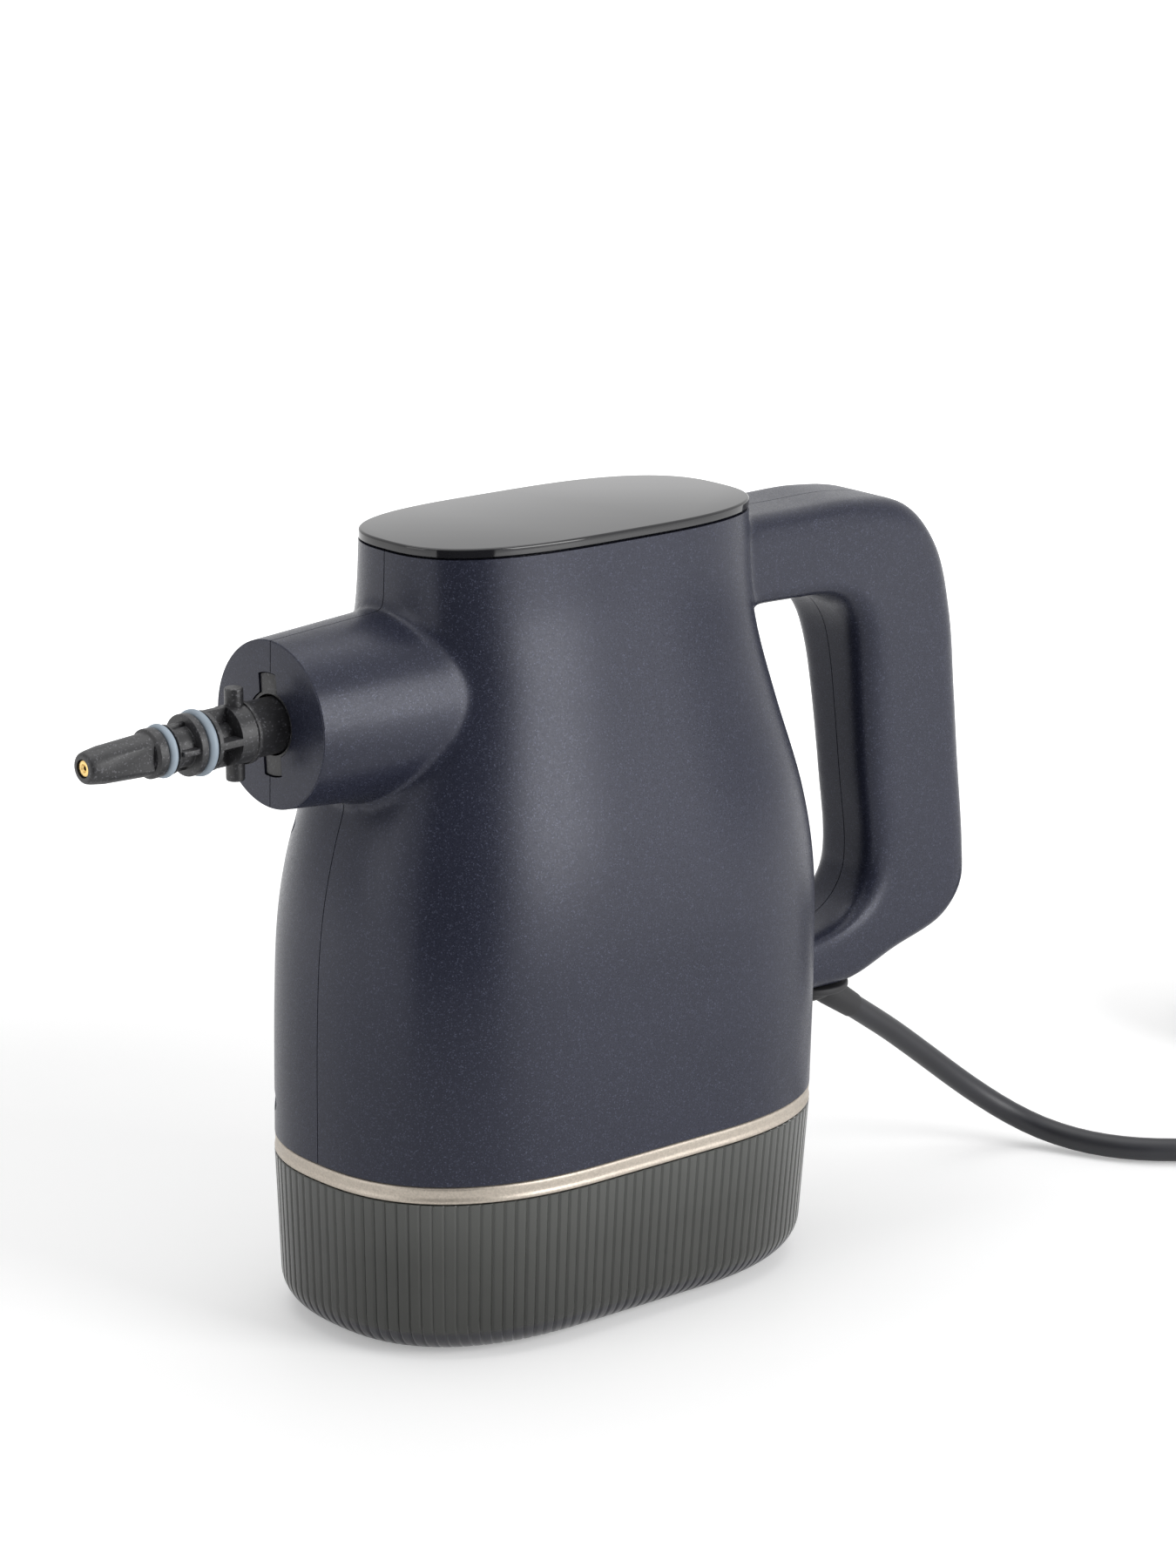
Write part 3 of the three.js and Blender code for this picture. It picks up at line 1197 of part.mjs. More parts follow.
add("boiler_base", boilerBase(), finishes.casting);
add("boiler_gasket", boilerGasket(), finishes.silicone);
add("boiler_cover", boilerCover(), finishes.casting);
add("boiler_cradle", boilerCradle(), finishes.steel);
add("heating_element", elementTube(elementRadius, 22, 8), finishes.steel);
add("thermostat", thermostat(), finishes.whitePlastic);
add("thermal_fuse", thermalFuse(), finishes.whitePlastic);

add("pump_coil", pumpCoil(), finishes.blackPlastic);
add("pump_yoke", pumpYoke(), finishes.steel);
add("pump_tube", pumpTube(), finishes.whitePlastic);
add("pump_inlet", pumpInlet(), finishes.whitePlastic);
add("pump_plunger", pumpPlunger(), finishes.steel);
add("pump_foot_front", pumpFoot(2), finishes.rubber);
add("pump_foot_rear", pumpFoot(28), finishes.rubber);
add("suction_hose", suctionHose(), finishes.silicone);
add("intake_filter", intakeFilter(), finishes.whitePlastic);
add("delivery_hose", deliveryHose(), finishes.silicone);

add("terminal_block", terminalBlock(), finishes.whitePlastic);
add("inner_lead", innerLead(), finishes.cord);
add("board_lead", boardLead(), finishes.whitePlastic);
add("heater_lead", heaterLead(), finishes.silicone);
screwPlaces.forEach((place, i) => add(`shell_screw_${i + 1}`, shellScrew(place), finishes.steel));

add("cord_gland", cordGland(), finishes.rubber);
add("strain_relief", strainRelief(), finishes.rubber);
add("power_cord", freeTube(freeRoute, 20), finishes.cord);
add("cord_coil", tubeThrough(coilLine, cordRadius, 6), finishes.cord);
add("cord_end", freeTube(endRoute, 8), finishes.cord);
add("cord_tie", cordTie(), finishes.rubber);
add("plug_sleeve", plugSleeve(), finishes.cord);
add("plug_body", plugBody(), finishes.cord);
add("plug_fuse_carrier", fuseCarrier(), finishes.cord);
["plug_pin_earth", "plug_pin_neutral", "plug_pin_live"].forEach((name, i) =>
  add(name, plugPin(pinPlaces()[i]), finishes.brass),
);

export default steamer;
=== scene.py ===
"""Handheld steamer: the looks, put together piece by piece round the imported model."""

import math

import bmesh
import bpy
import numpy as np
from mathutils import Matrix, Vector
from mathutils.bvhtree import BVHTree


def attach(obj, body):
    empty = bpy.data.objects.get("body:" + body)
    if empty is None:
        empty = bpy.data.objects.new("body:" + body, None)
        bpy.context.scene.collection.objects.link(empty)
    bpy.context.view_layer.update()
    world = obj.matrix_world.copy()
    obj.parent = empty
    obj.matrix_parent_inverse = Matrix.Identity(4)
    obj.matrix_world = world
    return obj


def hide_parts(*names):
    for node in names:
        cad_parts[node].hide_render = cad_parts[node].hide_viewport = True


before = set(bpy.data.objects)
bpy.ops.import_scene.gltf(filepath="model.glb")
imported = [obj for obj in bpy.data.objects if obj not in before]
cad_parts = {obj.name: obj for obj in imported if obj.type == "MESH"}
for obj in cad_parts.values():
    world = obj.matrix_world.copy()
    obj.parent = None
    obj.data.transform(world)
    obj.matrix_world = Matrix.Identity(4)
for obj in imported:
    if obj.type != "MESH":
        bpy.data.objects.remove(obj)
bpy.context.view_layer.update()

# ---------------------------------------------------------------------------------------------
# Camera
# A long lens a metre and a half away, a little above the top panel and to the nozzle's left.
# ---------------------------------------------------------------------------------------------
bpy.ops.object.select_all(action="DESELECT")
view_right = Vector((0.74634444, -0.66529769, 0.0186802))
view_up = Vector((0.16355792, 0.21054427, 0.96380492))
view_back = Vector((-0.6451502, -0.71627515, 0.26595325))
view_place = Vector((-0.95500, -1.07632, 0.55303))
bpy.ops.object.camera_add()
camera = bpy.context.object
camera.data.lens = 113.774
camera.data.sensor_width = 36
camera.data.clip_end = 20
turn = Matrix((view_right, view_up, view_back)).transposed().to_4x4()
camera.matrix_world = Matrix.Translation(view_place) @ turn
bpy.context.scene.camera = camera

# ---------------------------------------------------------------------------------------------
# Floor and light
# A white sweep under a softbox on each side and one overhead, with a black card for reflections.
# The floor, more so away from the steamer, and the world are lifted to white where they are seen
# straight, mirrored or through something clear, so the light on the steamer stays plain.
# ---------------------------------------------------------------------------------------------
WORLD_LEVEL = 0.36
FLOOR_LIFT = {"To Min": 0.31, "To Max": 1.0, "From Min": 0.24, "From Max": 0.8}
SOFTBOXES = {
    "softbox_right": {"place": (0.58, -1.42, 0.62), "size": (0.8, 1.1), "watts": 17},
    "softbox_left": {"place": (-1.55, 0.25, 0.7), "size": (0.9, 1.2), "watts": 4},
    "softbox_top": {"place": (0.1, 0.2, 1.7), "size": (1.6, 1.4), "watts": 11},
}
FLAG = {"place": (-0.24, -0.33, 0.24), "faces": math.radians(-124), "size": (0.46, 0.48)}


def feed(tree, node, inputs):
    """Fills a node's sockets: another node's output is linked, and any other value is set."""
    for socket, value in inputs.items():
        if isinstance(value, bpy.types.NodeSocket):
            tree.links.new(value, node.inputs[socket])
        else:
            node.inputs[socket].default_value = value


def add_node(tree, kind, inputs, **settings):
    node = tree.nodes.new(kind)
    for name, value in settings.items():
        setattr(node, name, value)
    feed(tree, node, inputs)
    return node


def new_paint(name):
    paint = bpy.data.materials.new(name)
    paint.use_nodes = True
    return paint, paint.node_tree, paint.node_tree.nodes["Principled BSDF"]


def object_place(tree):
    return add_node(tree, "ShaderNodeTexCoord", {}).outputs["Object"]


def seen_directly(tree):
    """Gives a value of 1 on camera, glossy and transmission rays, and 0 on the others."""
    path = add_node(tree, "ShaderNodeLightPath", {}).outputs
    total = add_node(
        tree, "ShaderNodeMath", {0: path["Is Camera Ray"], 1: path["Is Glossy Ray"]}, operation="ADD",
    )
    clear = add_node(
        tree, "ShaderNodeMath", {0: total.outputs[0], 1: path["Is Transmission Ray"]},
        operation="ADD", use_clamp=True,
    )
    return clear.outputs[0]


def light_the_room():
    world = bpy.data.worlds.new("studio")
    bpy.context.scene.world = world
    world.use_nodes = True
    tree = world.node_tree
    level = add_node(
        tree, "ShaderNodeMapRange", {"Value": seen_directly(tree), "To Min": WORLD_LEVEL, "To Max": 1},
    )
    feed(tree, tree.nodes["Background"], {"Color": (1, 1, 1, 1), "Strength": level.outputs["Result"]})
    for name, box in SOFTBOXES.items():
        bpy.ops.object.light_add(type="AREA", location=box["place"])
        lamp = bpy.context.object
        lamp.name = name
        lamp.data.shape = "RECTANGLE"
        lamp.data.size, lamp.data.size_y = box["size"]
        lamp.data.energy = box["watts"]
        aim = Vector((0, 0, 0.12)) - lamp.location
        lamp.rotation_euler = aim.to_track_quat("-Z", "Y").to_euler()


def lay_the_floor():
    bpy.ops.mesh.primitive_plane_add(size=8, location=(0, 0, -0.0004))
    floor = bpy.context.object
    floor.name = "floor"
    paint, tree, surface = new_paint("floor_paint")
    distance = add_node(tree, "ShaderNodeVectorMath", {0: object_place(tree)}, operation="LENGTH")
    fade = add_node(
        tree, "ShaderNodeMapRange", {"Value": distance.outputs["Value"], **FLOOR_LIFT},
        interpolation_type="SMOOTHSTEP",
    )
    lift = add_node(
        tree, "ShaderNodeMath", {0: seen_directly(tree), 1: fade.outputs["Result"]}, operation="MULTIPLY",
    )
    feed(tree, surface, {
        "Base Color": (0.86, 0.86, 0.86, 1), "Roughness": 0.5, "Specular IOR Level": 0.1,
        "Emission Color": (1, 1, 1, 1), "Emission Strength": lift.outputs[0],
    })
    floor.data.materials.append(paint)


def stand_the_flag():
    """A black card by the lens, which only reflections show, so that the near corner reads dark."""
    bpy.ops.mesh.primitive_plane_add(size=1, location=FLAG["place"])
    flag = bpy.context.object
    flag.name = "flag"
    flag.scale = (*FLAG["size"], 1)
    flag.rotation_euler = (math.pi / 2, 0, FLAG["faces"] + math.pi / 2)
    for kind in ("camera", "diffuse", "transmission", "volume_scatter", "shadow"):
        setattr(flag, f"visible_{kind}", False)
    paint, tree, surface = new_paint("flag_paint")
    feed(tree, surface, {"Base Color": (0.01, 0.01, 0.01, 1), "Roughness": 1, "Specular IOR Level": 0})
    flag.data.materials.append(paint)


light_the_room()
lay_the_floor()
stand_the_flag()
bpy.context.scene.view_settings.view_transform = "Standard"

# ---------------------------------------------------------------------------------------------
# Power lead
# A 7.6 mm three-core lead with a satin sheath. It leaves the gland under the handle, runs down to
# the floor and away, and what is left of its 2.5 m lies in a tied coil with its plug beyond it.
# ---------------------------------------------------------------------------------------------
LEAD_DIAMETER = 0.0076
GLAND = Vector((0.110, 0, 0.0732))
LEAD_DROP = math.radians(33)
LEAD_WAY = Vector((math.cos(LEAD_DROP), 0, -math.sin(LEAD_DROP)))
LEAD_EXIT = GLAND + LEAD_WAY * 0.0235
LAYER_STEP = LEAD_DIAMETER + 0.0005
COIL = {
    "centre": (0.378, 0), "middle": 5.5 * LEAD_DIAMETER, "layers": 4, "pitch": LEAD_DIAMETER + 0.00075,
    "layer_height": LAYER_STEP, "entry": math.radians(285), "turns": 8 - 15 / 360,
    "lowest": LEAD_DIAMETER / 2 + 0.0011,
}
LEAD_FREE_POINTS = (
    (0.1502, -0.0001, 0.0468), (0.165, -0.0006, 0.0359), (0.1787, -0.0023, 0.0253),
    (0.1888, -0.0052, 0.0175), (0.1972, -0.0104, 0.0111), (0.2038, -0.0186, 0.0066),
    (0.2088, -0.0291, 0.0045), (0.2133, -0.0392, 0.004), (0.2194, -0.0483, 0.0039),
    (0.2282, -0.0567, 0.0039), (0.2397, -0.0647, 0.0039), (0.2522, -0.0703, 0.0039),
    (0.2658, -0.0728, 0.0039), (0.2828, -0.0729, 0.0039), (0.3019, -0.0708, 0.0039),
    (0.3219, -0.0668, 0.004), (0.3421, -0.0615, 0.0043), (0.36, -0.0564, 0.0046),
)
PLUG = {"ahead": 0.0945, "rear": 0.021, "entry_height": 0.010, "sleeve": 0.012}
LEAD_END_FALL = (
    (0.013, 0.0286), (0.019, 0.02695), (0.025, 0.0242), (0.0315, 0.0196), (0.038, 0.015),
    (0.044, 0.0122), (0.050, 0.0106),
)


def coil_point(turn):
    per_layer = COIL["turns"] / COIL["layers"]
    sweep = abs((turn / per_layer + 1) % 2 - 1)
    radius = COIL["middle"] + COIL["pitch"] * per_layer * (0.5 - sweep)
    z = COIL["lowest"]
    for k in range(1, COIL["layers"]):
        share = min(max((turn - k * per_layer + 0.25) / 0.5, 0), 1)
        z += COIL["layer_height"] * share * share * (3 - 2 * share)
    angle = COIL["entry"] + 2 * math.pi * turn
    x, y = COIL["centre"]
    return Vector((x + radius * math.cos(angle), y + radius * math.sin(angle), z))


def coil_way(turn):
    way = coil_point(turn + 1e-4) - coil_point(turn - 1e-4)
    way.z = 0
    return way.normalized()


def smooth_line(points, spacing):
    """Points a given distance apart along a smooth line through the given ones."""
    ends = [points[0] * 2 - points[1], *points, points[-1] * 2 - points[-2]]
    line = []
    for a, b, c, d in zip(ends, ends[1:], ends[2:], ends[3:]):
        steps = max(1, round((c - b).length / spacing))
        for i in range(steps):
            t = i / steps
            line.append(0.5 * (
                2 * b + (c - a) * t + (2 * a - 5 * b + 4 * c - d) * t**2 + (3 * b - a - 3 * c + d) * t**3
            ))
    return [*line, points[-1]]


COIL_END = coil_point(COIL["turns"]) + coil_way(COIL["turns"] - 1e-4) * LAYER_STEP
PLUG_PLACE = Matrix.Translation((COIL_END.x + PLUG["ahead"], COIL_END.y, 0))
PLUG_PLACE = PLUG_PLACE @ Matrix.Rotation(-math.pi / 2, 4, "Z")
PLUG_ENTRY = PLUG_PLACE @ Vector((0, -PLUG["rear"] - PLUG["sleeve"], PLUG["entry_height"]))


def lead_route():
    start_way = coil_way(1e-4)
    coil_start = coil_point(0) - start_way * LAYER_STEP
    free = [LEAD_EXIT, GLAND + LEAD_WAY * 0.033]
    free += [Vector(p) for p in LEAD_FREE_POINTS]
    free += [coil_start - start_way * 0.008, coil_start - start_way * 0.004, coil_start]
    steps = round(COIL["turns"] * 30)
    turns = [coil_point(COIL["turns"] * i / steps) for i in range(steps + 1)]
    way = coil_way(COIL["turns"] - 1e-4)
    end = [COIL_END, COIL_END + way * 0.004]
    end += [Vector((*(COIL_END + way * ahead).xy, height)) for ahead, height in LEAD_END_FALL]
    end += [PLUG_ENTRY - way * 0.004, PLUG_ENTRY, PLUG_ENTRY + way * 0.003]
    return smooth_line(free, 0.006) + turns + smooth_line(end, 0.006)


def noise(tree, scale, detail=2):
    place = object_place(tree)
    cloud = add_node(tree, "ShaderNodeTexNoise", {"Vector": place, "Scale": scale, "Detail": detail})
    return cloud.outputs["Fac"]


def ranged(tree, value, low, high):
    spread = add_node(tree, "ShaderNodeMapRange", {"Value": value, "To Min": low, "To Max": high})
    return spread.outputs["Result"]


def shades(tree, value, colour, low, high, span=(0, 1)):
    """The colour, made darker and lighter as the value goes from one end of the span to the other."""
    ramp = add_node(tree, "ShaderNodeValToRGB", {"Fac": value})
    for stop, position, share in zip(ramp.color_ramp.elements, span, (low, high)):
        stop.position = position
        stop.color = (*[min(c * share, 1) for c in colour], 1)
    return ramp.outputs["Color"]


def bumped(tree, height, strength):
    bump = add_node(tree, "ShaderNodeBump", {"Height": height, "Strength": strength, "Distance": 0.0002})
    return bump.outputs["Normal"]


def sheath_finish(name, colour, roughness):
    """A soft moulded sheath: faintly mottled, with a fine pebble that breaks up the highlight."""
    paint, tree, surface = new_paint(name)
    mottle = noise(tree, 90, 4)
    feed(tree, surface, {
        "Base Color": shades(tree, mottle, colour, 0.86, 1.14, (0.3, 0.7)),
        "Roughness": ranged(tree, mottle, roughness - 0.05, roughness + 0.05),
        "Normal": bumped(tree, noise(tree, 2600), 0.12),
    })
    return paint


lead_sheath = sheath_finish("lead_sheath", (0.016, 0.0165, 0.021), 0.44)


def draw_lead():
    route = lead_route()
    shape = bpy.data.curves.new("power_lead", "CURVE")
    shape.dimensions = "3D"
    shape.bevel_depth = LEAD_DIAMETER / 2
    shape.bevel_resolution = 5
    shape.use_fill_caps = True
    spline = shape.splines.new("POLY")
    spline.points.add(len(route) - 1)
    for point, place in zip(spline.points, route):
        point.co = (*place, 1)
    spline.use_smooth = True
    lead = bpy.data.objects.new("power_lead", shape)
    bpy.context.collection.objects.link(lead)
    lead.data.materials.append(lead_sheath)
    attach(lead, "housing")
    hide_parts("power_cord", "cord_coil", "cord_end")
    return lead


power_lead = draw_lead()

# ---------------------------------------------------------------------------------------------
# Body shells
# Two mirrored halves moulded in dark navy plastic, painted satin with a fine metallic fleck and
# screwed together on the middle plane. The spout and the loop handle grow out of them with small
# fillets; the left half is plain and the right half has the screw wells and the filler opening.
# ---------------------------------------------------------------------------------------------
RING_TOP = 0.0546
BODY_TOP = 0.240
SHELL_BOTTOM = 0.0549
SHELL_TOP = 0.2367
SHELL_WALL = 0.0025
PARTING_GAP = 0.0003
STATION_HEIGHTS = (0.0546, 0.095, 0.125, 0.150, 0.178, 0.200, 0.218, 0.240)
STATION_HALF_LENGTHS = (0.0899, 0.0903, 0.0891, 0.0844, 0.0752, 0.0686, 0.0667, 0.0663)
STATION_HALF_WIDTHS = (0.0528, 0.0525, 0.0518, 0.0486, 0.0419, 0.0372, 0.0334, 0.0320)
FLAT_ENDS = (0.0212, 0.006)
ROUNDNESS = (2.45, 2.73)
CLEARANCE = 0.0003
SPOUT = {
    "face": -0.108, "axis": 0.1917, "radius": 0.02475, "flare": 0.073, "root": -0.048, "hole": 0.010,
}
SPOUT_PLACE = Matrix.Translation((0, 0, SPOUT["axis"]))
KEY_EAR = {"half_width": 0.004, "reach": 0.0153, "turn": math.radians(6)}
# Inner and outer edge (x, z), half width, how far the rounding of the inner edge runs across and
# along the section, from the body's top round the loop to the strut above the tank.
HANDLE_STATIONS = (
    ((0.048, 0.2035), (0.048, 0.2318), 0.0190, (0.0090, 0.0036)),
    ((0.082, 0.2032), (0.086, 0.2318), 0.0190, (0.0090, 0.0036)),
    ((0.097, 0.2024), (0.113, 0.2316), 0.0190, (0.0090, 0.0042)),
    ((0.106, 0.1986), (0.133, 0.2275), 0.0188, (0.0086, 0.0056)),
    ((0.112, 0.1913), (0.1475, 0.213), 0.0180, (0.0080, 0.0074)),
    ((0.1156, 0.180), (0.156, 0.190), 0.0168, (0.0072, 0.0086)),
    ((0.1186, 0.162), (0.1606, 0.165), 0.0156, (0.0066, 0.0090)),
    ((0.122, 0.138), (0.1645, 0.138), 0.0150, (0.0064, 0.0092)),
    ((0.1252, 0.116), (0.168, 0.110), 0.0150, (0.0064, 0.0094)),
    ((0.1245, 0.1065), (0.168, 0.0975), 0.0150, (0.0064, 0.0090)),
    ((0.1195, 0.0986), (0.160, 0.0876), 0.0150, (0.0064, 0.0080)),
    ((0.111, 0.0935), (0.138, 0.0802), 0.0150, (0.0064, 0.0052)),
    ((0.099, 0.091), (0.119, 0.0736), 0.0150, (0.0060, 0.0036)),
    ((0.086, 0.090), (0.098, 0.0732), 0.0150, (0.0060, 0.0034)),
    ((0.066, 0.090), (0.066, 0.0732), 0.0150, (0.0060, 0.0034)),
)
HANDLE_OUTER_RADIUS = 0.0066
SCREW_WELLS = (
    (-0.081, 0.065), (0.083, 0.064), (-0.075, 0.150), (-0.057, 0.217), (0.097, 0.2175), (0.138, 0.176),
    (0.147, 0.110),
)
WELL_DEPTH_AT = 0.008
WELL_RADIUS = 0.0034
POST_RADIUS = 0.0046
FLAP = {
    "front": -0.076, "hinge": -0.022, "bottom": 0.073, "top": 0.129, "gap": 0.0005, "knuckle": 0.0019,
}
HINGE_LINE = (-0.022, 0.05041)
HINGE_BORE = 0.0012
SKIN_STEP = 0.0011


def clear_selection():
    if bpy.context.object and bpy.context.object.mode != "OBJECT":
        bpy.ops.object.mode_set(mode="OBJECT")
    bpy.ops.object.select_all(action="DESELECT")


def take(piece):
    clear_selection()
    piece.select_set(True)
    bpy.context.view_layer.objects.active = piece
    return piece


def settle(piece):
    """Applies the object's place to its mesh, so the object sits at the origin."""
    take(piece)
    bpy.ops.object.transform_apply(location=True, rotation=True, scale=True)
    return piece


def lofted(name, rings):
    """A closed skin over rings of points: a grid is bent round them, seamed and capped."""
    rows, across = len(rings), len(rings[0])
    clear_selection()
    bpy.ops.mesh.primitive_grid_add(x_subdivisions=across, y_subdivisions=rows - 1, size=1)
    piece = bpy.context.object
    piece.name = name
    closed = np.concatenate([rings, rings[:, :1]], axis=1).reshape(-1, 3)
    piece.data.vertices.foreach_set("co", closed.astype(np.float32).ravel())
    bpy.ops.object.mode_set(mode="EDIT")
    bpy.ops.mesh.select_all(action="SELECT")
    bpy.ops.mesh.remove_doubles(threshold=1e-7)
    bpy.ops.mesh.select_all(action="SELECT")
    bpy.ops.mesh.fill_holes(sides=0)
    bpy.ops.mesh.select_all(action="SELECT")
    bpy.ops.mesh.normals_make_consistent(inside=False)
    bpy.ops.object.mode_set(mode="OBJECT")
    return piece


def boxed(name, low, high):
    clear_selection()
    middle = [(a + b) / 2 for a, b in zip(low, high)]
    bpy.ops.mesh.primitive_cube_add(size=1, location=middle)
    piece = bpy.context.object
    piece.name = name
    piece.scale = [b - a for a, b in zip(low, high)]
    return settle(piece)


def carve(piece, tool, operation="DIFFERENCE", keep=False):
    """Cuts, joins or crosses the piece with a tool, which is thrown away unless it is kept."""
    take(piece)
    change = piece.modifiers.new("carve", "BOOLEAN")
    change.operation = operation
    change.solver = "MANIFOLD"
    change.object = tool
    bpy.ops.object.modifier_apply(modifier=change.name)
    if not keep:
        bpy.data.objects.remove(tool, do_unlink=True)
    return piece


def copied(piece, name):
    take(piece)
    bpy.ops.object.duplicate()
    twin = bpy.context.object
    twin.name = name
    twin.data.name = name
    return twin


def station_curve(values):
    """Height to value along a smooth line through the body's stations."""
    points = np.column_stack([STATION_HEIGHTS, values])
    padded = np.vstack([points[:1], points, points[-1:]])
    line = []
    for a, b, c, d in zip(padded, padded[1:], padded[2:], padded[3:]):
        for t in np.linspace(0, 1, 24, endpoint=False):
            line.append(
                b + 0.5 * t * (c - a + t * (2 * a - 5 * b + 4 * c - d + t * (3 * (b - c) + d - a)))
            )
    line = np.array([*line, points[-1]])
    return lambda z: float(np.interp(z, line[:, 0], line[:, 1]))


half_length_at = station_curve(STATION_HALF_LENGTHS)
half_width_at = station_curve(STATION_HALF_WIDTHS)


def body_outline(z, inset, count, level=None):
    """Evenly spaced points round the body at height z, drawn in by inset."""
    share = min(max((z - RING_TOP) / (BODY_TOP - RING_TOP), 0), 1)
    flat = FLAT_ENDS[0] + (FLAT_ENDS[1] - FLAT_ENDS[0]) * share
    power = 2 / (ROUNDNESS[0] + (ROUNDNESS[1] - ROUNDNESS[0]) * share)
    a, b = half_length_at(z) - inset, half_width_at(z) - inset
    angle = np.linspace(0, 2 * math.pi, 2881)
    c, s = np.cos(angle), np.sin(angle)
    x = np.sign(c) * (flat + (a - flat) * np.abs(c) ** power)
    y = np.sign(s) * b * np.abs(s) ** power
    walked = np.concatenate([[0], np.cumsum(np.hypot(np.diff(x), np.diff(y)))])
    at = np.linspace(0, walked[-1], count, endpoint=False)
    height = np.full(count, z if level is None else level)
    return np.column_stack([np.interp(at, walked, x), np.interp(at, walked, y), height])


def turned(name, profile, sides, place=None):
    """A shape spun about +X from (distance, radius) pairs, then set in place."""
    angle = np.linspace(0, 2 * math.pi, sides, endpoint=False)
    rings = [
        np.column_stack([np.full(sides, x), radius * np.cos(angle), radius * np.sin(angle)])
        for x, radius in profile
    ]
    piece = lofted(name, np.array(rings))
    if place is not None:
        piece.matrix_world = place
        settle(piece)
    return piece


def body_loft(name, inset, bottom, top, count=220, rise=0.0035):
    heights = np.linspace(bottom, top, round((top - bottom) / rise) + 1)
    return lofted(name, np.array([body_outline(z, inset, count) for z in heights]))


def spout_loft(name, inset=0, front=SPOUT["face"] - 0.004, sides=128, steps=24):
    profile = [(front, 0)]
    for x in np.linspace(front, SPOUT["root"], steps):
        profile.append((x, SPOUT["radius"] + SPOUT["flare"] * (x - SPOUT["face"]) - inset))
    return turned(name, [*profile, (SPOUT["root"], 0)], sides, SPOUT_PLACE)


def handle_section(depth, width, rounding):
    """Half a section from the inner edge's middle to the outer edge's middle, as (u, v)."""
    across, along = rounding
    outer = HANDLE_OUTER_RADIUS
    turn = np.linspace(0, math.pi / 2, 9)
    power = 2 / 1.75
    inner_curve = np.column_stack([
        -depth + along - along * np.cos(turn) ** power, width - across + across * np.sin(turn) ** power,
    ])
    outer_curve = np.column_stack([
        depth - outer + outer * np.sin(turn), width - outer + outer * np.cos(turn),
    ])
    inner_flat = np.column_stack([np.full(5, -depth), np.linspace(0, width - across, 6)[:5]])
    outer_flat = np.column_stack([np.full(5, depth), np.linspace(width - outer, 0, 6)[1:]])
    side = np.linspace(inner_curve[-1], outer_curve[0], 8)[1:-1]
    return np.concatenate([inner_flat, inner_curve, side, outer_curve, outer_flat])


def through_stations(points, steps):
    """Points along a smooth line, with the same number of steps between each pair of stations."""
    points = np.array(points, float)
    padded = np.vstack([2 * points[0] - points[1], points, 2 * points[-1] - points[-2]])
    line = []
    for a, b, c, d in zip(padded, padded[1:], padded[2:], padded[3:]):
        pairs = (a, b), (b, c), (c, d)
        near, here, far = [max(np.linalg.norm(q - p) ** 0.5, 1e-9) for p, q in pairs]
        leave = ((b - a) / near - (c - a) / (near + here) + (c - b) / here) * here
        arrive = ((c - b) / here - (d - b) / (here + far) + (d - c) / far) * here
        second, third = 3 * (c - b) - 2 * leave - arrive, 2 * (b - c) + leave + arrive
        for t in np.arange(steps) / steps:
            line.append(b + leave * t + second * t**2 + third * t**3)
    return np.array([*line, points[-1]])


def handle_loft(name, inset=0, steps=7):
    inner = through_stations([station[0] for station in HANDLE_STATIONS], steps)
    outer = through_stations([station[1] for station in HANDLE_STATIONS], steps)
    widths = through_stations([(station[2], 0) for station in HANDLE_STATIONS], steps)[:, 0]
    roundings = through_stations([station[3] for station in HANDLE_STATIONS], steps)
    rings = []
    for near, far, width, rounding in zip(inner, outer, widths, roundings):
        middle, reach = (near + far) / 2, (far - near) / 2
        depth = np.linalg.norm(reach)
        half = handle_section(depth - inset, width - inset, rounding)
        whole = np.concatenate([half, (half * (1, -1))[-2:0:-1]])
        x, z = middle[:, None] + (reach / depth)[:, None] * whole[:, 0]
        rings.append(np.column_stack([x, whole[:, 1], z]))
    return lofted(name, np.array(rings))


def soften_joints(piece, parts, reach, repeats):
    """Rounds the crease where two of the parts meet, by smoothing the skin close to both."""
    trees = []
    for part in parts:
        mesh = bmesh.new()
        mesh.from_mesh(part.data)
        trees.append(BVHTree.FromBMesh(mesh))
        mesh.free()
    take(piece)
    for vertex in piece.data.vertices:
        close = [tree.find_nearest(vertex.co, reach)[0] is not None for tree in trees]
        vertex.select = sum(close) > 1
    bpy.ops.object.mode_set(mode="EDIT")
    bpy.ops.mesh.select_mode(type="VERT")
    bpy.ops.mesh.vertices_smooth(factor=0.5, repeat=repeats)
    bpy.ops.object.mode_set(mode="OBJECT")


def solid_skin():
    """The whole outside in one piece: body, spout and handle, joined and re-skinned."""
    body = body_loft("body_form", 0, RING_TOP - 0.004, BODY_TOP + 0.004)
    parts = [copied(body, "body_alone"), spout_loft("spout_alone"), handle_loft("handle_alone")]
    carve(body, parts[1], "UNION", keep=True)
    carve(body, parts[2], "UNION", keep=True)
    body.data.remesh_voxel_size = SKIN_STEP
    body.data.remesh_voxel_adaptivity = 0
    take(body)
    bpy.ops.object.voxel_remesh()
    soften_joints(body, parts, 0.0022, 12)
    smooth = body.modifiers.new("smooth", "SMOOTH")
    smooth.factor = 0.5
    smooth.iterations = 3
    take(body)
    bpy.ops.object.modifier_apply(modifier=smooth.name)
    for part in parts:
        bpy.data.objects.remove(part, do_unlink=True)
    return carve(body, rim_tool())


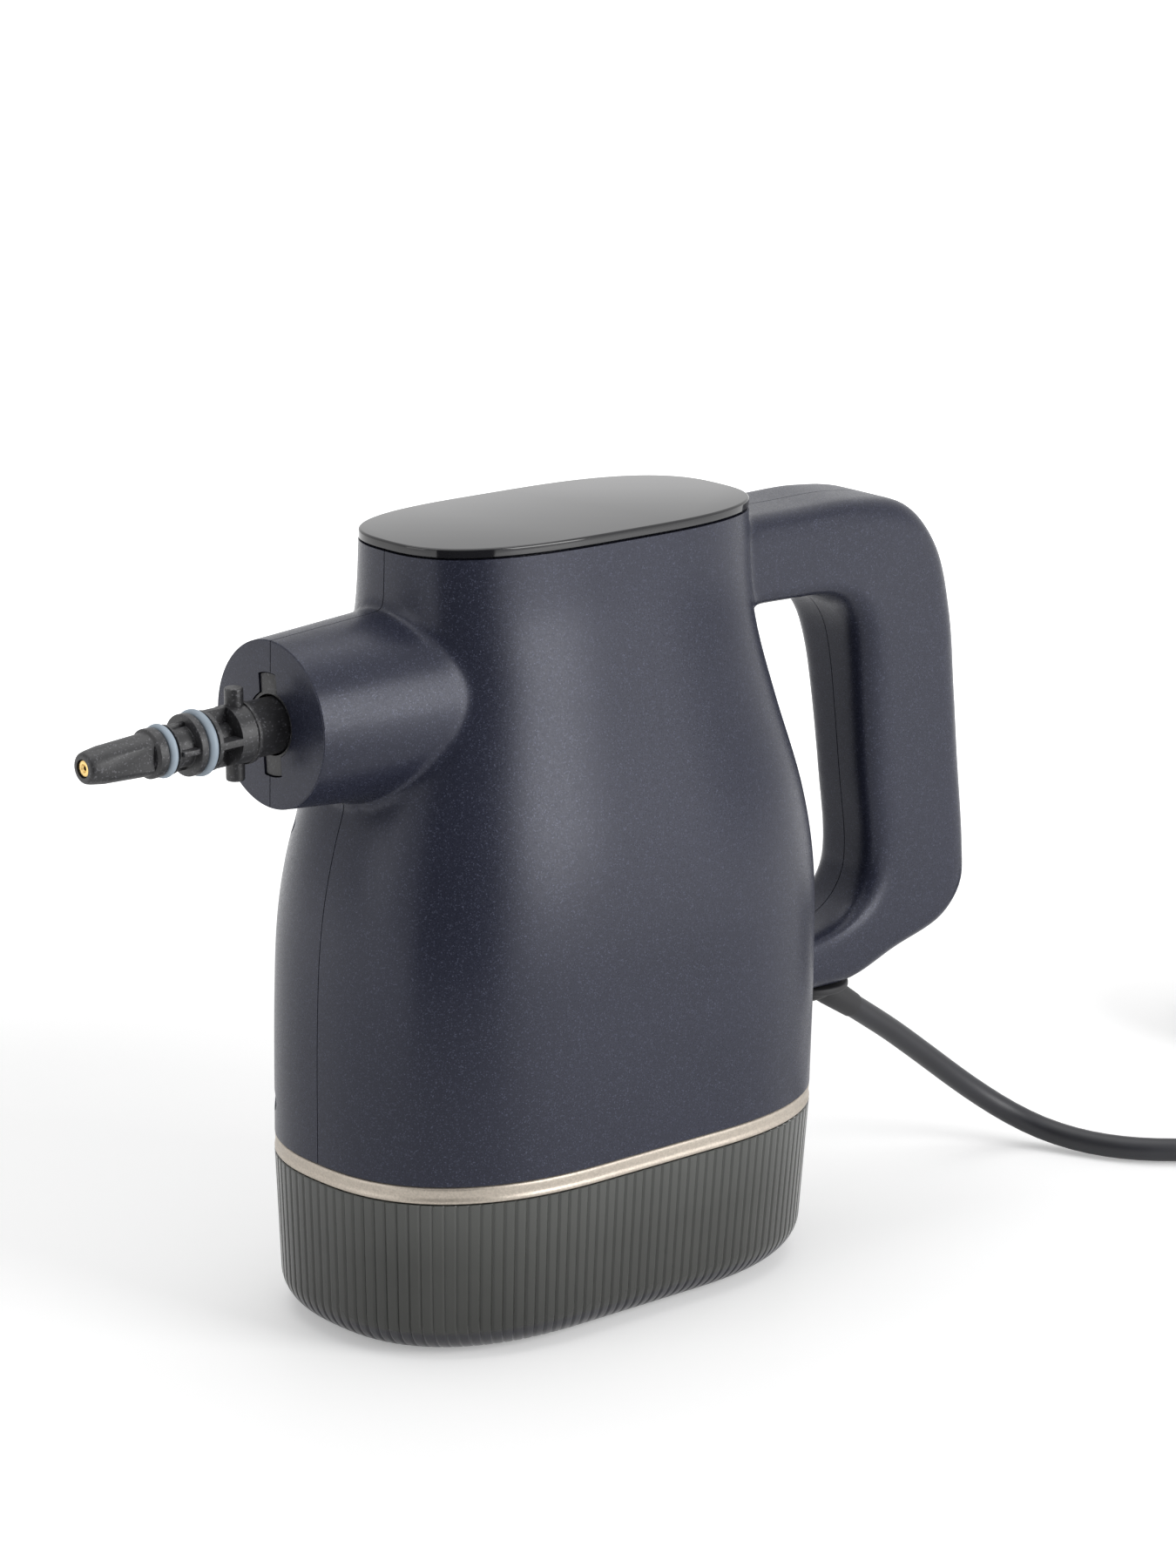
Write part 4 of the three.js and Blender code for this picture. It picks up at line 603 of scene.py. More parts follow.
def hollow_form():
    """The space inside the shells, with the screw posts left standing in it."""
    space = body_loft("body_space", SHELL_WALL, SHELL_BOTTOM - 0.002, SHELL_TOP + 0.002, 120, 0.009)
    carve(space, spout_loft("spout_space", SHELL_WALL, SPOUT["face"] + 0.003, 64, 6), "UNION")
    carve(space, handle_loft("handle_space", SHELL_WALL, 3), "UNION")
    for x, z in SCREW_WELLS:
        carve(space, cross_bar("post", x, z, -0.07, 0.07, POST_RADIUS, 32))
    x, y = HINGE_LINE
    for low, high in ((FLAP["bottom"] - 0.0045, FLAP["bottom"]), (FLAP["top"], FLAP["top"] + 0.0045)):
        carve(space, boxed("pin_seat", (x - 0.0035, y - 0.0035, low), (x + 0.0035, y + 0.001, high)))
    return space


def key_ears(clearance, front, back):
    """The two ears of the key way, turned a little about the spout's axis."""
    half, reach = KEY_EAR["half_width"] + clearance, KEY_EAR["reach"] + clearance
    ears = boxed("ears", (front, -half, -reach), (back, half, reach))
    ears.matrix_world = SPOUT_PLACE @ Matrix.Rotation(-KEY_EAR["turn"], 4, "X")
    settle(ears)
    ends = (front - 0.001, 0, SPOUT["axis"]), (back + 0.001, 0, SPOUT["axis"])
    return carve(ears, round_tool("reach_disc", *ends, reach), "INTERSECT")


def round_tool(name, start, end, radius, sides=64):
    """A plain round bar between two points, used to bore or to trim."""
    start, end = Vector(start), Vector(end)
    clear_selection()
    bpy.ops.mesh.primitive_cylinder_add(
        vertices=sides, radius=radius, depth=(end - start).length, location=(start + end) / 2,
        rotation=(end - start).to_track_quat("Z", "Y").to_euler(),
    )
    bar = settle(bpy.context.object)
    bar.name = name
    return bar


def cross_bar(name, x, z, near, far, radius, sides):
    """A round bar across the shells, from one y to another."""
    return round_tool(name, (x, near, z), (x, far, z), radius, sides)


def shell_cutter(space, side):
    """Everything that is cut out of one shell: its inside, its holes and its screw wells."""
    cutter = copied(space, "cutter")
    face, axis = SPOUT["face"], SPOUT["axis"]
    carve(cutter, key_ears(0, face - 0.004, face + 0.004), "UNION")
    ends = (face - 0.004, 0, axis), (face + 0.004, 0, axis)
    carve(cutter, round_tool("hole", *ends, SPOUT["hole"], 96), "UNION")
    seat = GLAND.z + 0.003
    for radius, low, high in ((0.0089, GLAND.z - 0.002, seat + 0.001), (0.0109, seat, seat + 0.003)):
        carve(cutter, round_tool("gland_hole", (GLAND.x, 0, low), (GLAND.x, 0, high), radius), "UNION")
    for x, z in SCREW_WELLS:
        if side > 0:
            head = WELL_DEPTH_AT
            carve(cutter, cross_bar("shank_hole", x, z, -0.001, head + 0.001, 0.0018, 24), "UNION")
            carve(cutter, cross_bar("well", x, z, head, 0.07, WELL_RADIUS, 48), "UNION")
        else:
            carve(cutter, cross_bar("thread_hole", x, z, -0.010, 0.001, 0.00165, 24), "UNION")
    if side > 0:
        carve(cutter, boxed(
            "opening", (FLAP["front"], 0.002, FLAP["bottom"]),
            (FLAP["hinge"] + FLAP["knuckle"] + 2 * FLAP["gap"], 0.08, FLAP["top"]),
        ), "UNION")
        ends = (*HINGE_LINE, FLAP["bottom"] - 0.003), (*HINGE_LINE, FLAP["top"] + 0.003)
        carve(cutter, round_tool("pin_hole", *ends, HINGE_BORE, 40), "UNION")
    return cutter


def rim_tool():
    """The room in front of the spout's face, with the small rounding of the spout's rim."""
    face, radius, edge = SPOUT["face"], SPOUT["radius"], 0.0005
    profile = [(-0.13, 0), (-0.13, 0.06), (face + edge, 0.06), (face + edge, radius + 0.00004)]
    for angle in np.linspace(0, math.pi / 2, 7)[1:]:
        profile.append((face + edge - edge * math.sin(angle), radius - edge + edge * math.cos(angle)))
    return turned("rim_tool", [*profile, (face, 0)], 256, SPOUT_PLACE)


def shell_half(name, skin, space, side):
    near, far = (PARTING_GAP / 2, 0.08) if side > 0 else (-0.08, -PARTING_GAP / 2)
    half = copied(skin, name)
    carve(half, boxed("half_room", (-0.2, near, SHELL_BOTTOM), (0.2, far, SHELL_TOP)), "INTERSECT")
    return carve(half, shell_cutter(space, side))


def smooth_faces(piece, angle=32):
    take(piece)
    bpy.ops.object.shade_smooth_by_angle(angle=math.radians(angle))
    return piece


def grains(tree, scale):
    """Fine cells over the piece, each with a red and a green value of its own."""
    place = object_place(tree)
    cells = add_node(tree, "ShaderNodeTexVoronoi", {"Vector": place, "Scale": scale})
    return add_node(tree, "ShaderNodeSeparateColor", {"Color": cells.outputs["Color"]}).outputs


def flecked(tree, value, base, fleck):
    """The base colour, with the fleck's wherever the value is among the highest."""
    chosen = add_node(tree, "ShaderNodeMapRange", {"Value": value, "From Min": 0.86, "From Max": 1.0})
    mixed = add_node(
        tree, "ShaderNodeMix", {"Factor": chosen.outputs["Result"], "A": base, "B": fleck},
        data_type="RGBA",
    )
    return mixed.outputs["Result"]


def fleck_paint(name, colour, fleck, roughness):
    """Satin lacquer: a dark base with fine bright flecks in it and a faint pebbled surface."""
    paint, tree, surface = new_paint(name)
    base = shades(tree, noise(tree, 22, 3), colour, 0.94, 1.06, (0.3, 0.7))
    cells = grains(tree, 3600)
    feed(tree, surface, {
        "Base Color": flecked(tree, cells["Red"], base, (*fleck, 1)),
        "Roughness": ranged(tree, cells["Green"], roughness + 0.04, roughness - 0.10),
        "Metallic": 0.15, "Specular IOR Level": 0.31,
        "Normal": bumped(tree, noise(tree, 1400), 0.10),
    })
    return paint


def dress(piece, paint):
    piece.data.materials.clear()
    piece.data.materials.append(paint)
    for face in piece.data.polygons:
        face.material_index = 0


skin = solid_skin()
space = hollow_form()
body_lacquer = fleck_paint("body_lacquer", (0.0205, 0.0225, 0.038), (0.070, 0.077, 0.117), 0.36)
body_left = shell_half("body_left", skin, space, -1)
body_right = shell_half("body_right", skin, space, 1)
flap_panel = copied(skin, "flap_panel")
carve(flap_panel, boxed(
    "panel_room", (FLAP["front"] + FLAP["gap"], 0.002, FLAP["bottom"] + FLAP["gap"]),
    (FLAP["hinge"], 0.08, FLAP["top"] - FLAP["gap"]),
), "INTERSECT")
carve(flap_panel, space, keep=True)
for leftover in (skin, space):
    bpy.data.objects.remove(leftover, do_unlink=True)
for half, node in ((body_left, "left_shell"), (body_right, "right_shell")):
    smooth_faces(half)
    dress(half, body_lacquer)
    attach(half, "housing")
    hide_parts(node)

# ---------------------------------------------------------------------------------------------
# Filler flap
# A panel of the right shell's own skin, on a hinge pin at its rear edge. A soft bung on the back of
# it plugs the mouth of the bent filler tube that leads down into the tank.
# ---------------------------------------------------------------------------------------------
BUNG = {"x": -0.046, "z": 0.101, "radius": 0.0076, "seat": 0.0436, "length": 0.0028}


def rounded_corners(profile, radius, steps=4):
    """Rounds every inner corner of a (distance, radius) profile."""
    line = [Vector(profile[0])]
    for before, corner, after in zip(profile, profile[1:], profile[2:]):
        before, corner, after = Vector(before), Vector(corner), Vector(after)
        near, far = before - corner, after - corner
        cut = min(radius, near.length * 0.45, far.length * 0.45)
        if cut < 1e-5:
            line.append(corner)
            continue
        start, end = corner + near.normalized() * cut, corner + far.normalized() * cut
        for i in range(steps + 1):
            t = i / steps
            line.append(start * (1 - t) ** 2 + corner * 2 * t * (1 - t) + end * t**2)
    line.append(Vector(profile[-1]))
    return [(point.x, point.y) for point in line]


def bevelled(piece, width, segments=2, angle=35):
    take(piece)
    edge = piece.modifiers.new("edge", "BEVEL")
    edge.width = width
    edge.segments = segments
    edge.limit_method = "ANGLE"
    edge.angle_limit = math.radians(angle)
    edge.use_clamp_overlap = True
    bpy.ops.object.modifier_apply(modifier=edge.name)
    return piece


def on_hinge(z):
    return (*HINGE_LINE, z)


low, high = FLAP["bottom"] + FLAP["gap"], FLAP["top"] - FLAP["gap"]
carve(flap_panel, round_tool("knuckle", on_hinge(low), on_hinge(high), FLAP["knuckle"], 40), "UNION")
stub = (BUNG["x"], BUNG["seat"], BUNG["z"]), (BUNG["x"], 0.0500, BUNG["z"])
carve(flap_panel, round_tool("stub", *stub, BUNG["radius"] + 0.0012), "UNION")
carve(flap_panel, round_tool("pin_bore", on_hinge(low - 0.001), on_hinge(high + 0.001), HINGE_BORE, 40))
smooth_faces(flap_panel)
dress(flap_panel, body_lacquer)
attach(flap_panel, "flap")
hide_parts("filler_flap")


def along_y(x, z):
    return Matrix.Translation((x, 0, z)) @ Matrix.Rotation(math.pi / 2, 4, "Z")


bung_face = BUNG["seat"] - CLEARANCE
bung_tip = bung_face - BUNG["length"]
bung = turned("rubber_bung", rounded_corners([
    (bung_tip, 0), (bung_tip, BUNG["radius"] - 0.0012), (bung_tip + 0.0008, BUNG["radius"] - 0.0004),
    (bung_tip + 0.0012, BUNG["radius"]), (bung_tip + 0.0016, BUNG["radius"] - 0.0004),
    (bung_tip + 0.0020, BUNG["radius"]), (bung_face, BUNG["radius"]), (bung_face, 0),
], 0.0003), 64, along_y(BUNG["x"], BUNG["z"]))
smooth_faces(bung)
rubber_black = sheath_finish("rubber_black", (0.016, 0.016, 0.018), 0.6)
dress(bung, rubber_black)
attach(bung, "flap")
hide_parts("filler_bung")

# ---------------------------------------------------------------------------------------------
# Trim ring
# A band of champagne-painted plastic clipped between the shells and the tank, with a soft roll
# along its lower edge.
# ---------------------------------------------------------------------------------------------
RING_BOTTOM = 0.0493
RING_INNER = 0.006
RING_PROFILE = (
    (0.0493, 0.0010), (0.04935, 0.0006), (0.0495, 0.0002), (0.0498, 0.00003), (0.0502, 0.0),
    (0.0506, 0.00005), (0.0509, 0.00022), (0.0512, 0.0003), (0.0518, 0.00028), (0.0526, 0.0002),
    (0.0534, 0.00014), (0.0539, 0.00016), (0.0542, 0.0003), (0.0544, 0.0005), (0.0546, 0.0009),
)


def banded(name, profile, inner, count=720):
    """A closed band round the body's foot from (height, inset) pairs, hollow inside."""
    rings = [body_outline(RING_TOP, inset, count, z) for z, inset in profile]
    band = lofted(name, np.array(rings))
    low, high = profile[0][0] - 0.001, profile[-1][0] + 0.001
    core = lofted("core", np.array([body_outline(RING_TOP, inner, 240, z) for z in (low, high)]))
    return carve(band, core)


def metal_paint(name, colour, roughness):
    """Fine metallic paint: a bright base with a shimmer of lighter and darker grains."""
    paint, tree, surface = new_paint(name)
    cells = grains(tree, 2200)
    feed(tree, surface, {
        "Base Color": shades(tree, cells["Red"], colour, 0.88, 1.10),
        "Roughness": ranged(tree, cells["Green"], roughness - 0.06, roughness + 0.06),
        "Metallic": 0.55,
    })
    return paint


trim_band = banded("trim_band", RING_PROFILE, RING_INNER)
smooth_faces(trim_band, 50)
dress(trim_band, metal_paint("champagne_paint", (0.49, 0.435, 0.37), 0.42))
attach(trim_band, "housing")
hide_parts("trim_ring")

# ---------------------------------------------------------------------------------------------
# Water tank
# A tub of smoky translucent plastic with a frosted inside. Fine upright flutes run down its wall
# and fade out in the wide rounding of its foot; the floor inside is rounded to match.
# ---------------------------------------------------------------------------------------------
TANK = {"top": 0.049, "wall": 0.003, "floor": 0.003, "taper": 0.053, "foot": 0.0117}
FLUTES = {"count": 132, "depth": 0.00045, "per_flute": 12}
FLUTE_SHAPE = (1.0, 0.62, 0.10, 0.0, 0.0, 0.0, 0.0, 0.0, 0.0, 0.0, 0.10, 0.62)
# Colour by height, as a share of the tank's own. It holds painted light and shade: lighter towards the
# top as painted light from above, and dark in the foot band, partly for the thick floor seen through the
# wall and partly as painted shade under the rounded foot.
TANK_TINT_AND_PAINTED_LIGHT = {
    0.0: (0.014, 0.014, 0.021), 0.14: (0.019, 0.019, 0.028), 0.17: (0.046, 0.047, 0.043),
    0.60: (0.056, 0.058, 0.053), 1.0: (0.090, 0.093, 0.087),
}


def tank_ring(z, drawn, fluting):
    lean = TANK["taper"] * (RING_BOTTOM - z)
    count = FLUTES["count"] * FLUTES["per_flute"]
    ring = body_outline(RING_TOP, lean + drawn, count, z)
    if fluting:
        across = np.roll(ring, -1, axis=0) - np.roll(ring, 1, axis=0)
        across /= np.linalg.norm(across, axis=1)[:, None]
        sink = np.tile(FLUTE_SHAPE, FLUTES["count"]) * FLUTES["depth"] * fluting
        ring[:, 0] -= across[:, 1] * sink
        ring[:, 1] += across[:, 0] * sink
    return ring


def tank_bowl_mesh():
    foot = TANK["foot"]
    rings = []
    for angle in np.linspace(0, math.pi / 2, 15):
        drawn, z = foot * (1 - math.sin(angle)), foot * (1 - math.cos(angle))
        rings.append(tank_ring(z, drawn, min(angle / math.radians(26), 1)))
    rings += [tank_ring(z, 0, 1) for z in np.linspace(foot, TANK["top"] - 0.0003, 8)[1:]]
    rings.append(tank_ring(TANK["top"], 0.0003, 1))
    bowl = lofted("tank_bowl", np.array(rings))
    inner_foot = foot - TANK["wall"]
    hollow = []
    for angle in np.linspace(0, math.pi / 2, 9):
        drawn = TANK["wall"] + inner_foot * (1 - math.sin(angle))
        z = TANK["floor"] + inner_foot * (1 - math.cos(angle))
        hollow.append(tank_ring(z, drawn, 0)[::4])
    hollow += [tank_ring(z, TANK["wall"], 0)[::4] for z in (0.03, TANK["top"] + 0.001)]
    return carve(bowl, lofted("tank_space", np.array(hollow)))


def smoky_plastic():
    """Tinted clear plastic with a frosted skin, painted lighter at the top and darker at the foot as
    light and shade.
    """
    paint, tree, surface = new_paint("smoky_plastic")
    axes = add_node(tree, "ShaderNodeSeparateXYZ", {"Vector": object_place(tree)})
    height = add_node(tree, "ShaderNodeMapRange", {"Value": axes.outputs["Z"], "From Max": TANK["top"]})
    # The ramp paints light and shade into the colour by height: lighter at the top, dark in the foot
    # band.
    painted_light_tint = add_node(tree, "ShaderNodeValToRGB", {"Fac": height.outputs["Result"]})
    stops = painted_light_tint.color_ramp.elements
    stops[0].color, stops[1].color = (*TANK_TINT_AND_PAINTED_LIGHT[0.0], 1), (*TANK_TINT_AND_PAINTED_LIGHT[1.0], 1)
    for position in (0.14, 0.17, 0.60):
        stops.new(position).color = (*TANK_TINT_AND_PAINTED_LIGHT[position], 1)
    haze = ranged(tree, noise(tree, 26, 3), 0.70, 1.30)
    shaded = add_node(
        tree, "ShaderNodeVectorMath", {0: painted_light_tint.outputs["Color"], "Scale": haze}, operation="SCALE",
    )
    frost = noise(tree, 900)
    feed(tree, surface, {
        "Base Color": shaded.outputs["Vector"], "Transmission Weight": 0.20, "IOR": 1.5,
        "Roughness": ranged(tree, frost, 0.15, 0.25), "Normal": bumped(tree, frost, 0.08),
    })
    return paint


tank_bowl = tank_bowl_mesh()
smooth_faces(tank_bowl, 28)
dress(tank_bowl, smoky_plastic())
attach(tank_bowl, "housing")
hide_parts("water_tank")

# ---------------------------------------------------------------------------------------------
# Touch panel
# A plate of gloss black acrylic on top of the body, polished flat, with a short skirt that drops
# inside the shells. The touch keys only show when they are lit, so the plate is plain.
# ---------------------------------------------------------------------------------------------
PANEL = {
    "bottom": 0.237, "edge": 0.0007, "skirt_inset": 0.0028, "skirt_wall": 0.0018, "skirt_foot": 0.231,
}


def panel_loft(name, profile, count):
    """A skin over outlines of the body's top, from (height, inset) pairs."""
    return lofted(name, np.array([body_outline(BODY_TOP, inset, count, z) for z, inset in profile]))


def panel_plate():
    edge, bottom, foot, inset = (PANEL[key] for key in ("edge", "bottom", "skirt_foot", "skirt_inset"))
    profile = [(bottom, 0.0007), (bottom + 0.00015, 0.0003), (bottom + 0.0005, 0.0)]
    for angle in np.linspace(0, math.pi / 2, 7):
        profile.append((BODY_TOP - edge + edge * math.sin(angle), edge * (1 - math.cos(angle))))
    plate = panel_loft("panel_plate", profile, 360)
    carve(plate, panel_loft("skirt", [(foot, inset), (bottom + 0.001, inset)], 240), "UNION")
    inset += PANEL["skirt_wall"]
    return carve(plate, panel_loft("room", [(foot - 0.001, inset), (bottom, inset)], 240))


def polished(name, colour, roughness):
    """Polished plastic: the faintest unevenness in its colour and its gloss."""
    paint, tree, surface = new_paint(name)
    wave = noise(tree, 14)
    feed(tree, surface, {
        "Base Color": shades(tree, wave, colour, 0.85, 1.15),
        "Roughness": ranged(tree, wave, roughness, roughness + 0.04),
    })
    return paint


panel = panel_plate()
smooth_faces(panel, 30)
dress(panel, polished("gloss_black", (0.012, 0.012, 0.014), 0.06))
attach(panel, "housing")
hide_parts("top_panel")

# ---------------------------------------------------------------------------------------------
# Nozzle mount
# A black moulded disc that fills the hole in the spout's face from behind, with an ear above and
# below for the locking slots, and a socket that holds the nozzle's tail.
# ---------------------------------------------------------------------------------------------
MOUNT = {"front": -0.1047, "flange": 0.003, "socket": 0.016, "radius": 0.01145, "recess": 0.0004}
BARREL = 0.00825
DROOP = math.radians(1.6)
NOZZLE_ROOT = Matrix.Translation((SPOUT["face"], 0, SPOUT["axis"] - 0.0002))
NOZZLE_PLACE = NOZZLE_ROOT @ Matrix.Rotation(math.pi - DROOP, 4, "Y")


def glass_filled(name, colour, roughness):
    """Glass-filled moulding: black with pale fibre specks and a slightly rough grain."""
    paint, tree, surface = new_paint(name)
    grain = noise(tree, 1300, 3)
    pale = (*[c * 5 for c in colour], 1)
    feed(tree, surface, {
        "Base Color": flecked(tree, grains(tree, 2400)["Red"], (*colour, 1), pale),
        "Roughness": ranged(tree, grain, roughness - 0.08, roughness + 0.08),
        "Normal": bumped(tree, grain, 0.35),
    })
    return paint


def spun_bar(name, start, stop, radius, sides, place=None):
    """A plain round bar about +X between two distances, then set in place."""
    return turned(name, [(start, 0), (start, radius), (stop, radius), (stop, 0)], sides, place)


def mount_mesh():
    face, front, step = SPOUT["face"], MOUNT["front"], MOUNT["front"] + MOUNT["flange"]
    back, radius = front + MOUNT["socket"], MOUNT["radius"]
    flange = SPOUT["radius"] + SPOUT["flare"] * (front - face) - SHELL_WALL - CLEARANCE
    disc = turned("nozzle_mount_disc", rounded_corners([
        (front, 0), (front, flange), (step, flange), (step, radius), (back, radius), (back, 0),
    ], 0.0004), 96, SPOUT_PLACE)
    recess, behind = face + MOUNT["recess"], front + 0.0005
    carve(disc, bevelled(key_ears(-CLEARANCE, recess, behind), 0.0003, 2, 50), "UNION")
    carve(disc, spun_bar("rim", recess, behind, SPOUT["hole"] - CLEARANCE, 96, SPOUT_PLACE), "UNION")
    carve(disc, spun_bar("bore", -0.0123, 0.04, 0.00885, 96, NOZZLE_PLACE))
    carve(disc, spun_bar("mouth", face - 0.001, face + 0.003, 0.0089, 96, SPOUT_PLACE))
    return carve(disc, spun_bar("throat", face, -0.06, 0.0037, 48, SPOUT_PLACE))


mount_disc = mount_mesh()
smooth_faces(mount_disc)
moulded_black = glass_filled("moulded_black", (0.019, 0.019, 0.021), 0.44)
dress(mount_disc, moulded_black)
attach(mount_disc, "housing")
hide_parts("nozzle_mount")

# ---------------------------------------------------------------------------------------------
# Nozzle
# A moulded lance of black glass-filled plastic, locked in the spout by two round lugs. Ribs with
# pockets between them stiffen it, fins stand on its waist, and its taper has two spanner flats.
# ---------------------------------------------------------------------------------------------
LUG = {"at": 0.0128, "radius": 0.00275, "reach": 0.0137}
SEALS = {"large": (0.0266, 0.0082, 0.0015), "small": (0.0392, 0.0065, 0.0013)}
NOZZLE_END = 0.066
JET = {"radius": 0.0024, "bore": 0.0007, "length": 0.006, "sunk": 0.0004}


def blank_profile():
    big, small, end = SEALS["large"][0], SEALS["small"][0], NOZZLE_END
    return [
        (-0.012, 0), (-0.012, BARREL), (0.0094, BARREL), (0.0094, 0.0093), (0.0108, 0.0093),
        (0.0108, 0.00875), (big - 0.002, 0.00875), (big - 0.002, 0.0064), (big + 0.002, 0.0064),
        (big + 0.002, 0.009), (big + 0.0044, 0.009), (big + 0.0044, 0.006), (small - 0.0026, 0.006),
        (small - 0.0026, 0.0072), (small - 0.0018, 0.0072), (small - 0.0018, 0.0049),
        (small + 0.0018, 0.0049), (small + 0.0018, 0.0072), (small + 0.0049, 0.0072),
        (small + 0.0052, 0.0062), (end - 0.006, 0.00545), (end - 0.002, 0.00485), (end - 0.0006, 0.0045),
        (end, 0.0039), (end, 0),
    ]


def lug_mesh():
    reach, radius = LUG["reach"], LUG["radius"]
    profile = [(-reach, 0), (-reach, radius), (reach, radius), (reach, 0)]
    place = Matrix.Translation((LUG["at"], 0, 0)) @ Matrix.Rotation(-math.pi / 2, 4, "Y")
    return turned("lug", rounded_corners(profile, 0.0007, 6), 48, place)


def nozzle_mesh():
    lance = turned("nozzle_lance", rounded_corners(blank_profile(), 0.00035, 3), 96)
    carve(lance, lug_mesh(), "UNION")
    start, stop = LUG["at"] + LUG["radius"] + 0.0008, SEALS["large"][0] - 0.0034
    pockets = turned("pockets", rounded_corners([
        (start, 0.0044), (start, 0.012), (stop, 0.012), (stop, 0.0044), (start, 0.0044),
    ], 0.0003, 3), 96)
    rib = 0.001
    carve(pockets, boxed("rib", (start - 0.001, -0.02, -rib), (stop + 0.001, 0.02, rib)))
    carve(pockets, boxed("rib", (start - 0.001, -rib, -0.02), (stop + 0.001, rib, 0.02)))
    carve(lance, pockets)
    near, far = SEALS["large"][0] + 0.0042, SEALS["small"][0] - 0.0024
    for reach_y, reach_z in ((0.0083, 0.0008), (0.0008, 0.007)):
        fin = boxed("fin", (near, -reach_y, -reach_z), (far, reach_y, reach_z))
        carve(lance, bevelled(fin, 0.0003), "UNION")
    flat = SEALS["small"][0] + 0.0054
    for low, high in ((0.00495, 0.02), (-0.02, -0.00495)):
        carve(lance, boxed("flat", (flat, low, -0.02), (NOZZLE_END - 0.0025, high, 0.02)))
    carve(lance, spun_bar("steam_way", -0.02, 0.08, 0.0018, 32))
    seat = NOZZLE_END - JET["length"] - CLEARANCE
    carve(lance, spun_bar("jet_seat", seat, 0.08, 0.0027, 64))
    lance.matrix_world = NOZZLE_PLACE
    return settle(lance)


nozzle_lance = nozzle_mesh()
smooth_faces(nozzle_lance)
dress(nozzle_lance, moulded_black)
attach(nozzle_lance, "housing")
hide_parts("nozzle")

# ---------------------------------------------------------------------------------------------
# Nozzle seals
# Two rubber rings in grey-blue, rolled into the grooves of the nozzle.
# ---------------------------------------------------------------------------------------------
seal_rubber = sheath_finish("seal_rubber", (0.30, 0.36, 0.42), 0.5)
for size, (distance, radius, section) in SEALS.items():
    clear_selection()
    bpy.ops.mesh.primitive_torus_add(
        major_radius=radius, minor_radius=section, major_segments=96, minor_segments=28,
        location=(distance, 0, 0), rotation=(0, math.pi / 2, 0),
    )
    seal_ring = settle(bpy.context.object)
    seal_ring.name = f"seal_ring_{size}"
    seal_ring.matrix_world = NOZZLE_PLACE
    settle(seal_ring)
    smooth_faces(seal_ring, 60)
    dress(seal_ring, seal_rubber)
    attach(seal_ring, "housing")
    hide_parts(f"nozzle_seal_{size}")

# ---------------------------------------------------------------------------------------------
# Steam jet
# A turned brass insert pressed into the nozzle's tip, its fine bore countersunk.
# ---------------------------------------------------------------------------------------------
jet_front, jet_back = NOZZLE_END - JET["sunk"], NOZZLE_END - JET["length"]
jet_tip = turned("jet_tip", [
    (jet_back, JET["bore"]), (jet_back, JET["radius"]), (jet_front - 0.0003, JET["radius"]),
    (jet_front - 0.0001, JET["radius"] - 0.00008), (jet_front, JET["radius"] - 0.0003),
    (jet_front, JET["bore"] + 0.0006), (jet_front - 0.0006, JET["bore"]), (jet_back, JET["bore"]),
], 64, NOZZLE_PLACE)


def brushed_metal(name, colour, roughness, streaks=(60, 900, 900)):
    """Machined or drawn metal: fine streaks in its gloss and slight unevenness in its colour."""
    paint, tree, surface = new_paint(name)
    stretch = add_node(tree, "ShaderNodeMapping", {"Vector": object_place(tree), "Scale": streaks})
    lines = add_node(
        tree, "ShaderNodeTexNoise", {"Vector": stretch.outputs["Vector"], "Scale": 1, "Detail": 4},
    ).outputs["Fac"]
    feed(tree, surface, {
        "Base Color": shades(tree, lines, colour, 0.82, 1.12),
        "Roughness": ranged(tree, lines, roughness - 0.08, roughness + 0.1),
        "Metallic": 1,
    })
    return paint


smooth_faces(jet_tip)
brass = brushed_metal("brass", (0.78, 0.55, 0.22), 0.28)
dress(jet_tip, brass)
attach(jet_tip, "housing")
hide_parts("steam_jet")

# ---------------------------------------------------------------------------------------------
# Cord gland and strain relief
# Moulded rubber: a spool gripped by the strut's floor with a rounded collar beneath it, and a short
# smooth boot with a slight taper that points down along the lead.
# ---------------------------------------------------------------------------------------------
gland_spool = turned("gland_spool", rounded_corners([
    (-0.0075, 0), (-0.0071, 0.004), (-0.0054, 0.0074), (-0.0027, 0.0090), (-0.0027, 0.0128),
    (-0.0020, 0.0134), (-0.0007, 0.0134), (-0.0003, 0.0129), (-0.0003, 0.0086), (0.0033, 0.0086),
    (0.0033, 0.0106), (0.0049, 0.0106), (0.0049, 0),
], 0.0004), 96, Matrix.Translation(GLAND) @ Matrix.Rotation(-math.pi / 2, 4, "Y"))
lead_place = Matrix.Translation(GLAND) @ Matrix.Rotation(LEAD_DROP, 4, "Y")
carve(gland_spool, spun_bar("socket", 0.0022, 0.04, 0.005, 64, lead_place))
BOOT = {"start": 0.0025, "taper_from": 0.012, "end": 0.025, "base": 0.0047, "tip": 0.0041}
BOOT_PROFILE = (
    (BOOT["start"], 0), (BOOT["start"], BOOT["base"]), (BOOT["taper_from"], BOOT["base"]),
    (BOOT["end"], BOOT["tip"]), (BOOT["end"], 0),
)
relief_boot = turned("relief_boot", rounded_corners(BOOT_PROFILE, 0.0003, 3), 64, lead_place)
for piece, node in ((gland_spool, "cord_gland"), (relief_boot, "strain_relief")):
    smooth_faces(piece)
    dress(piece, rubber_black)
    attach(piece, "housing")
    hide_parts(node)

# ---------------------------------------------------------------------------------------------
# Coil tie
# A flat black strap wound once round the coiled lead.
# ---------------------------------------------------------------------------------------------
TIE = {"angle": math.radians(115), "width": 0.008, "thickness": 0.0008}


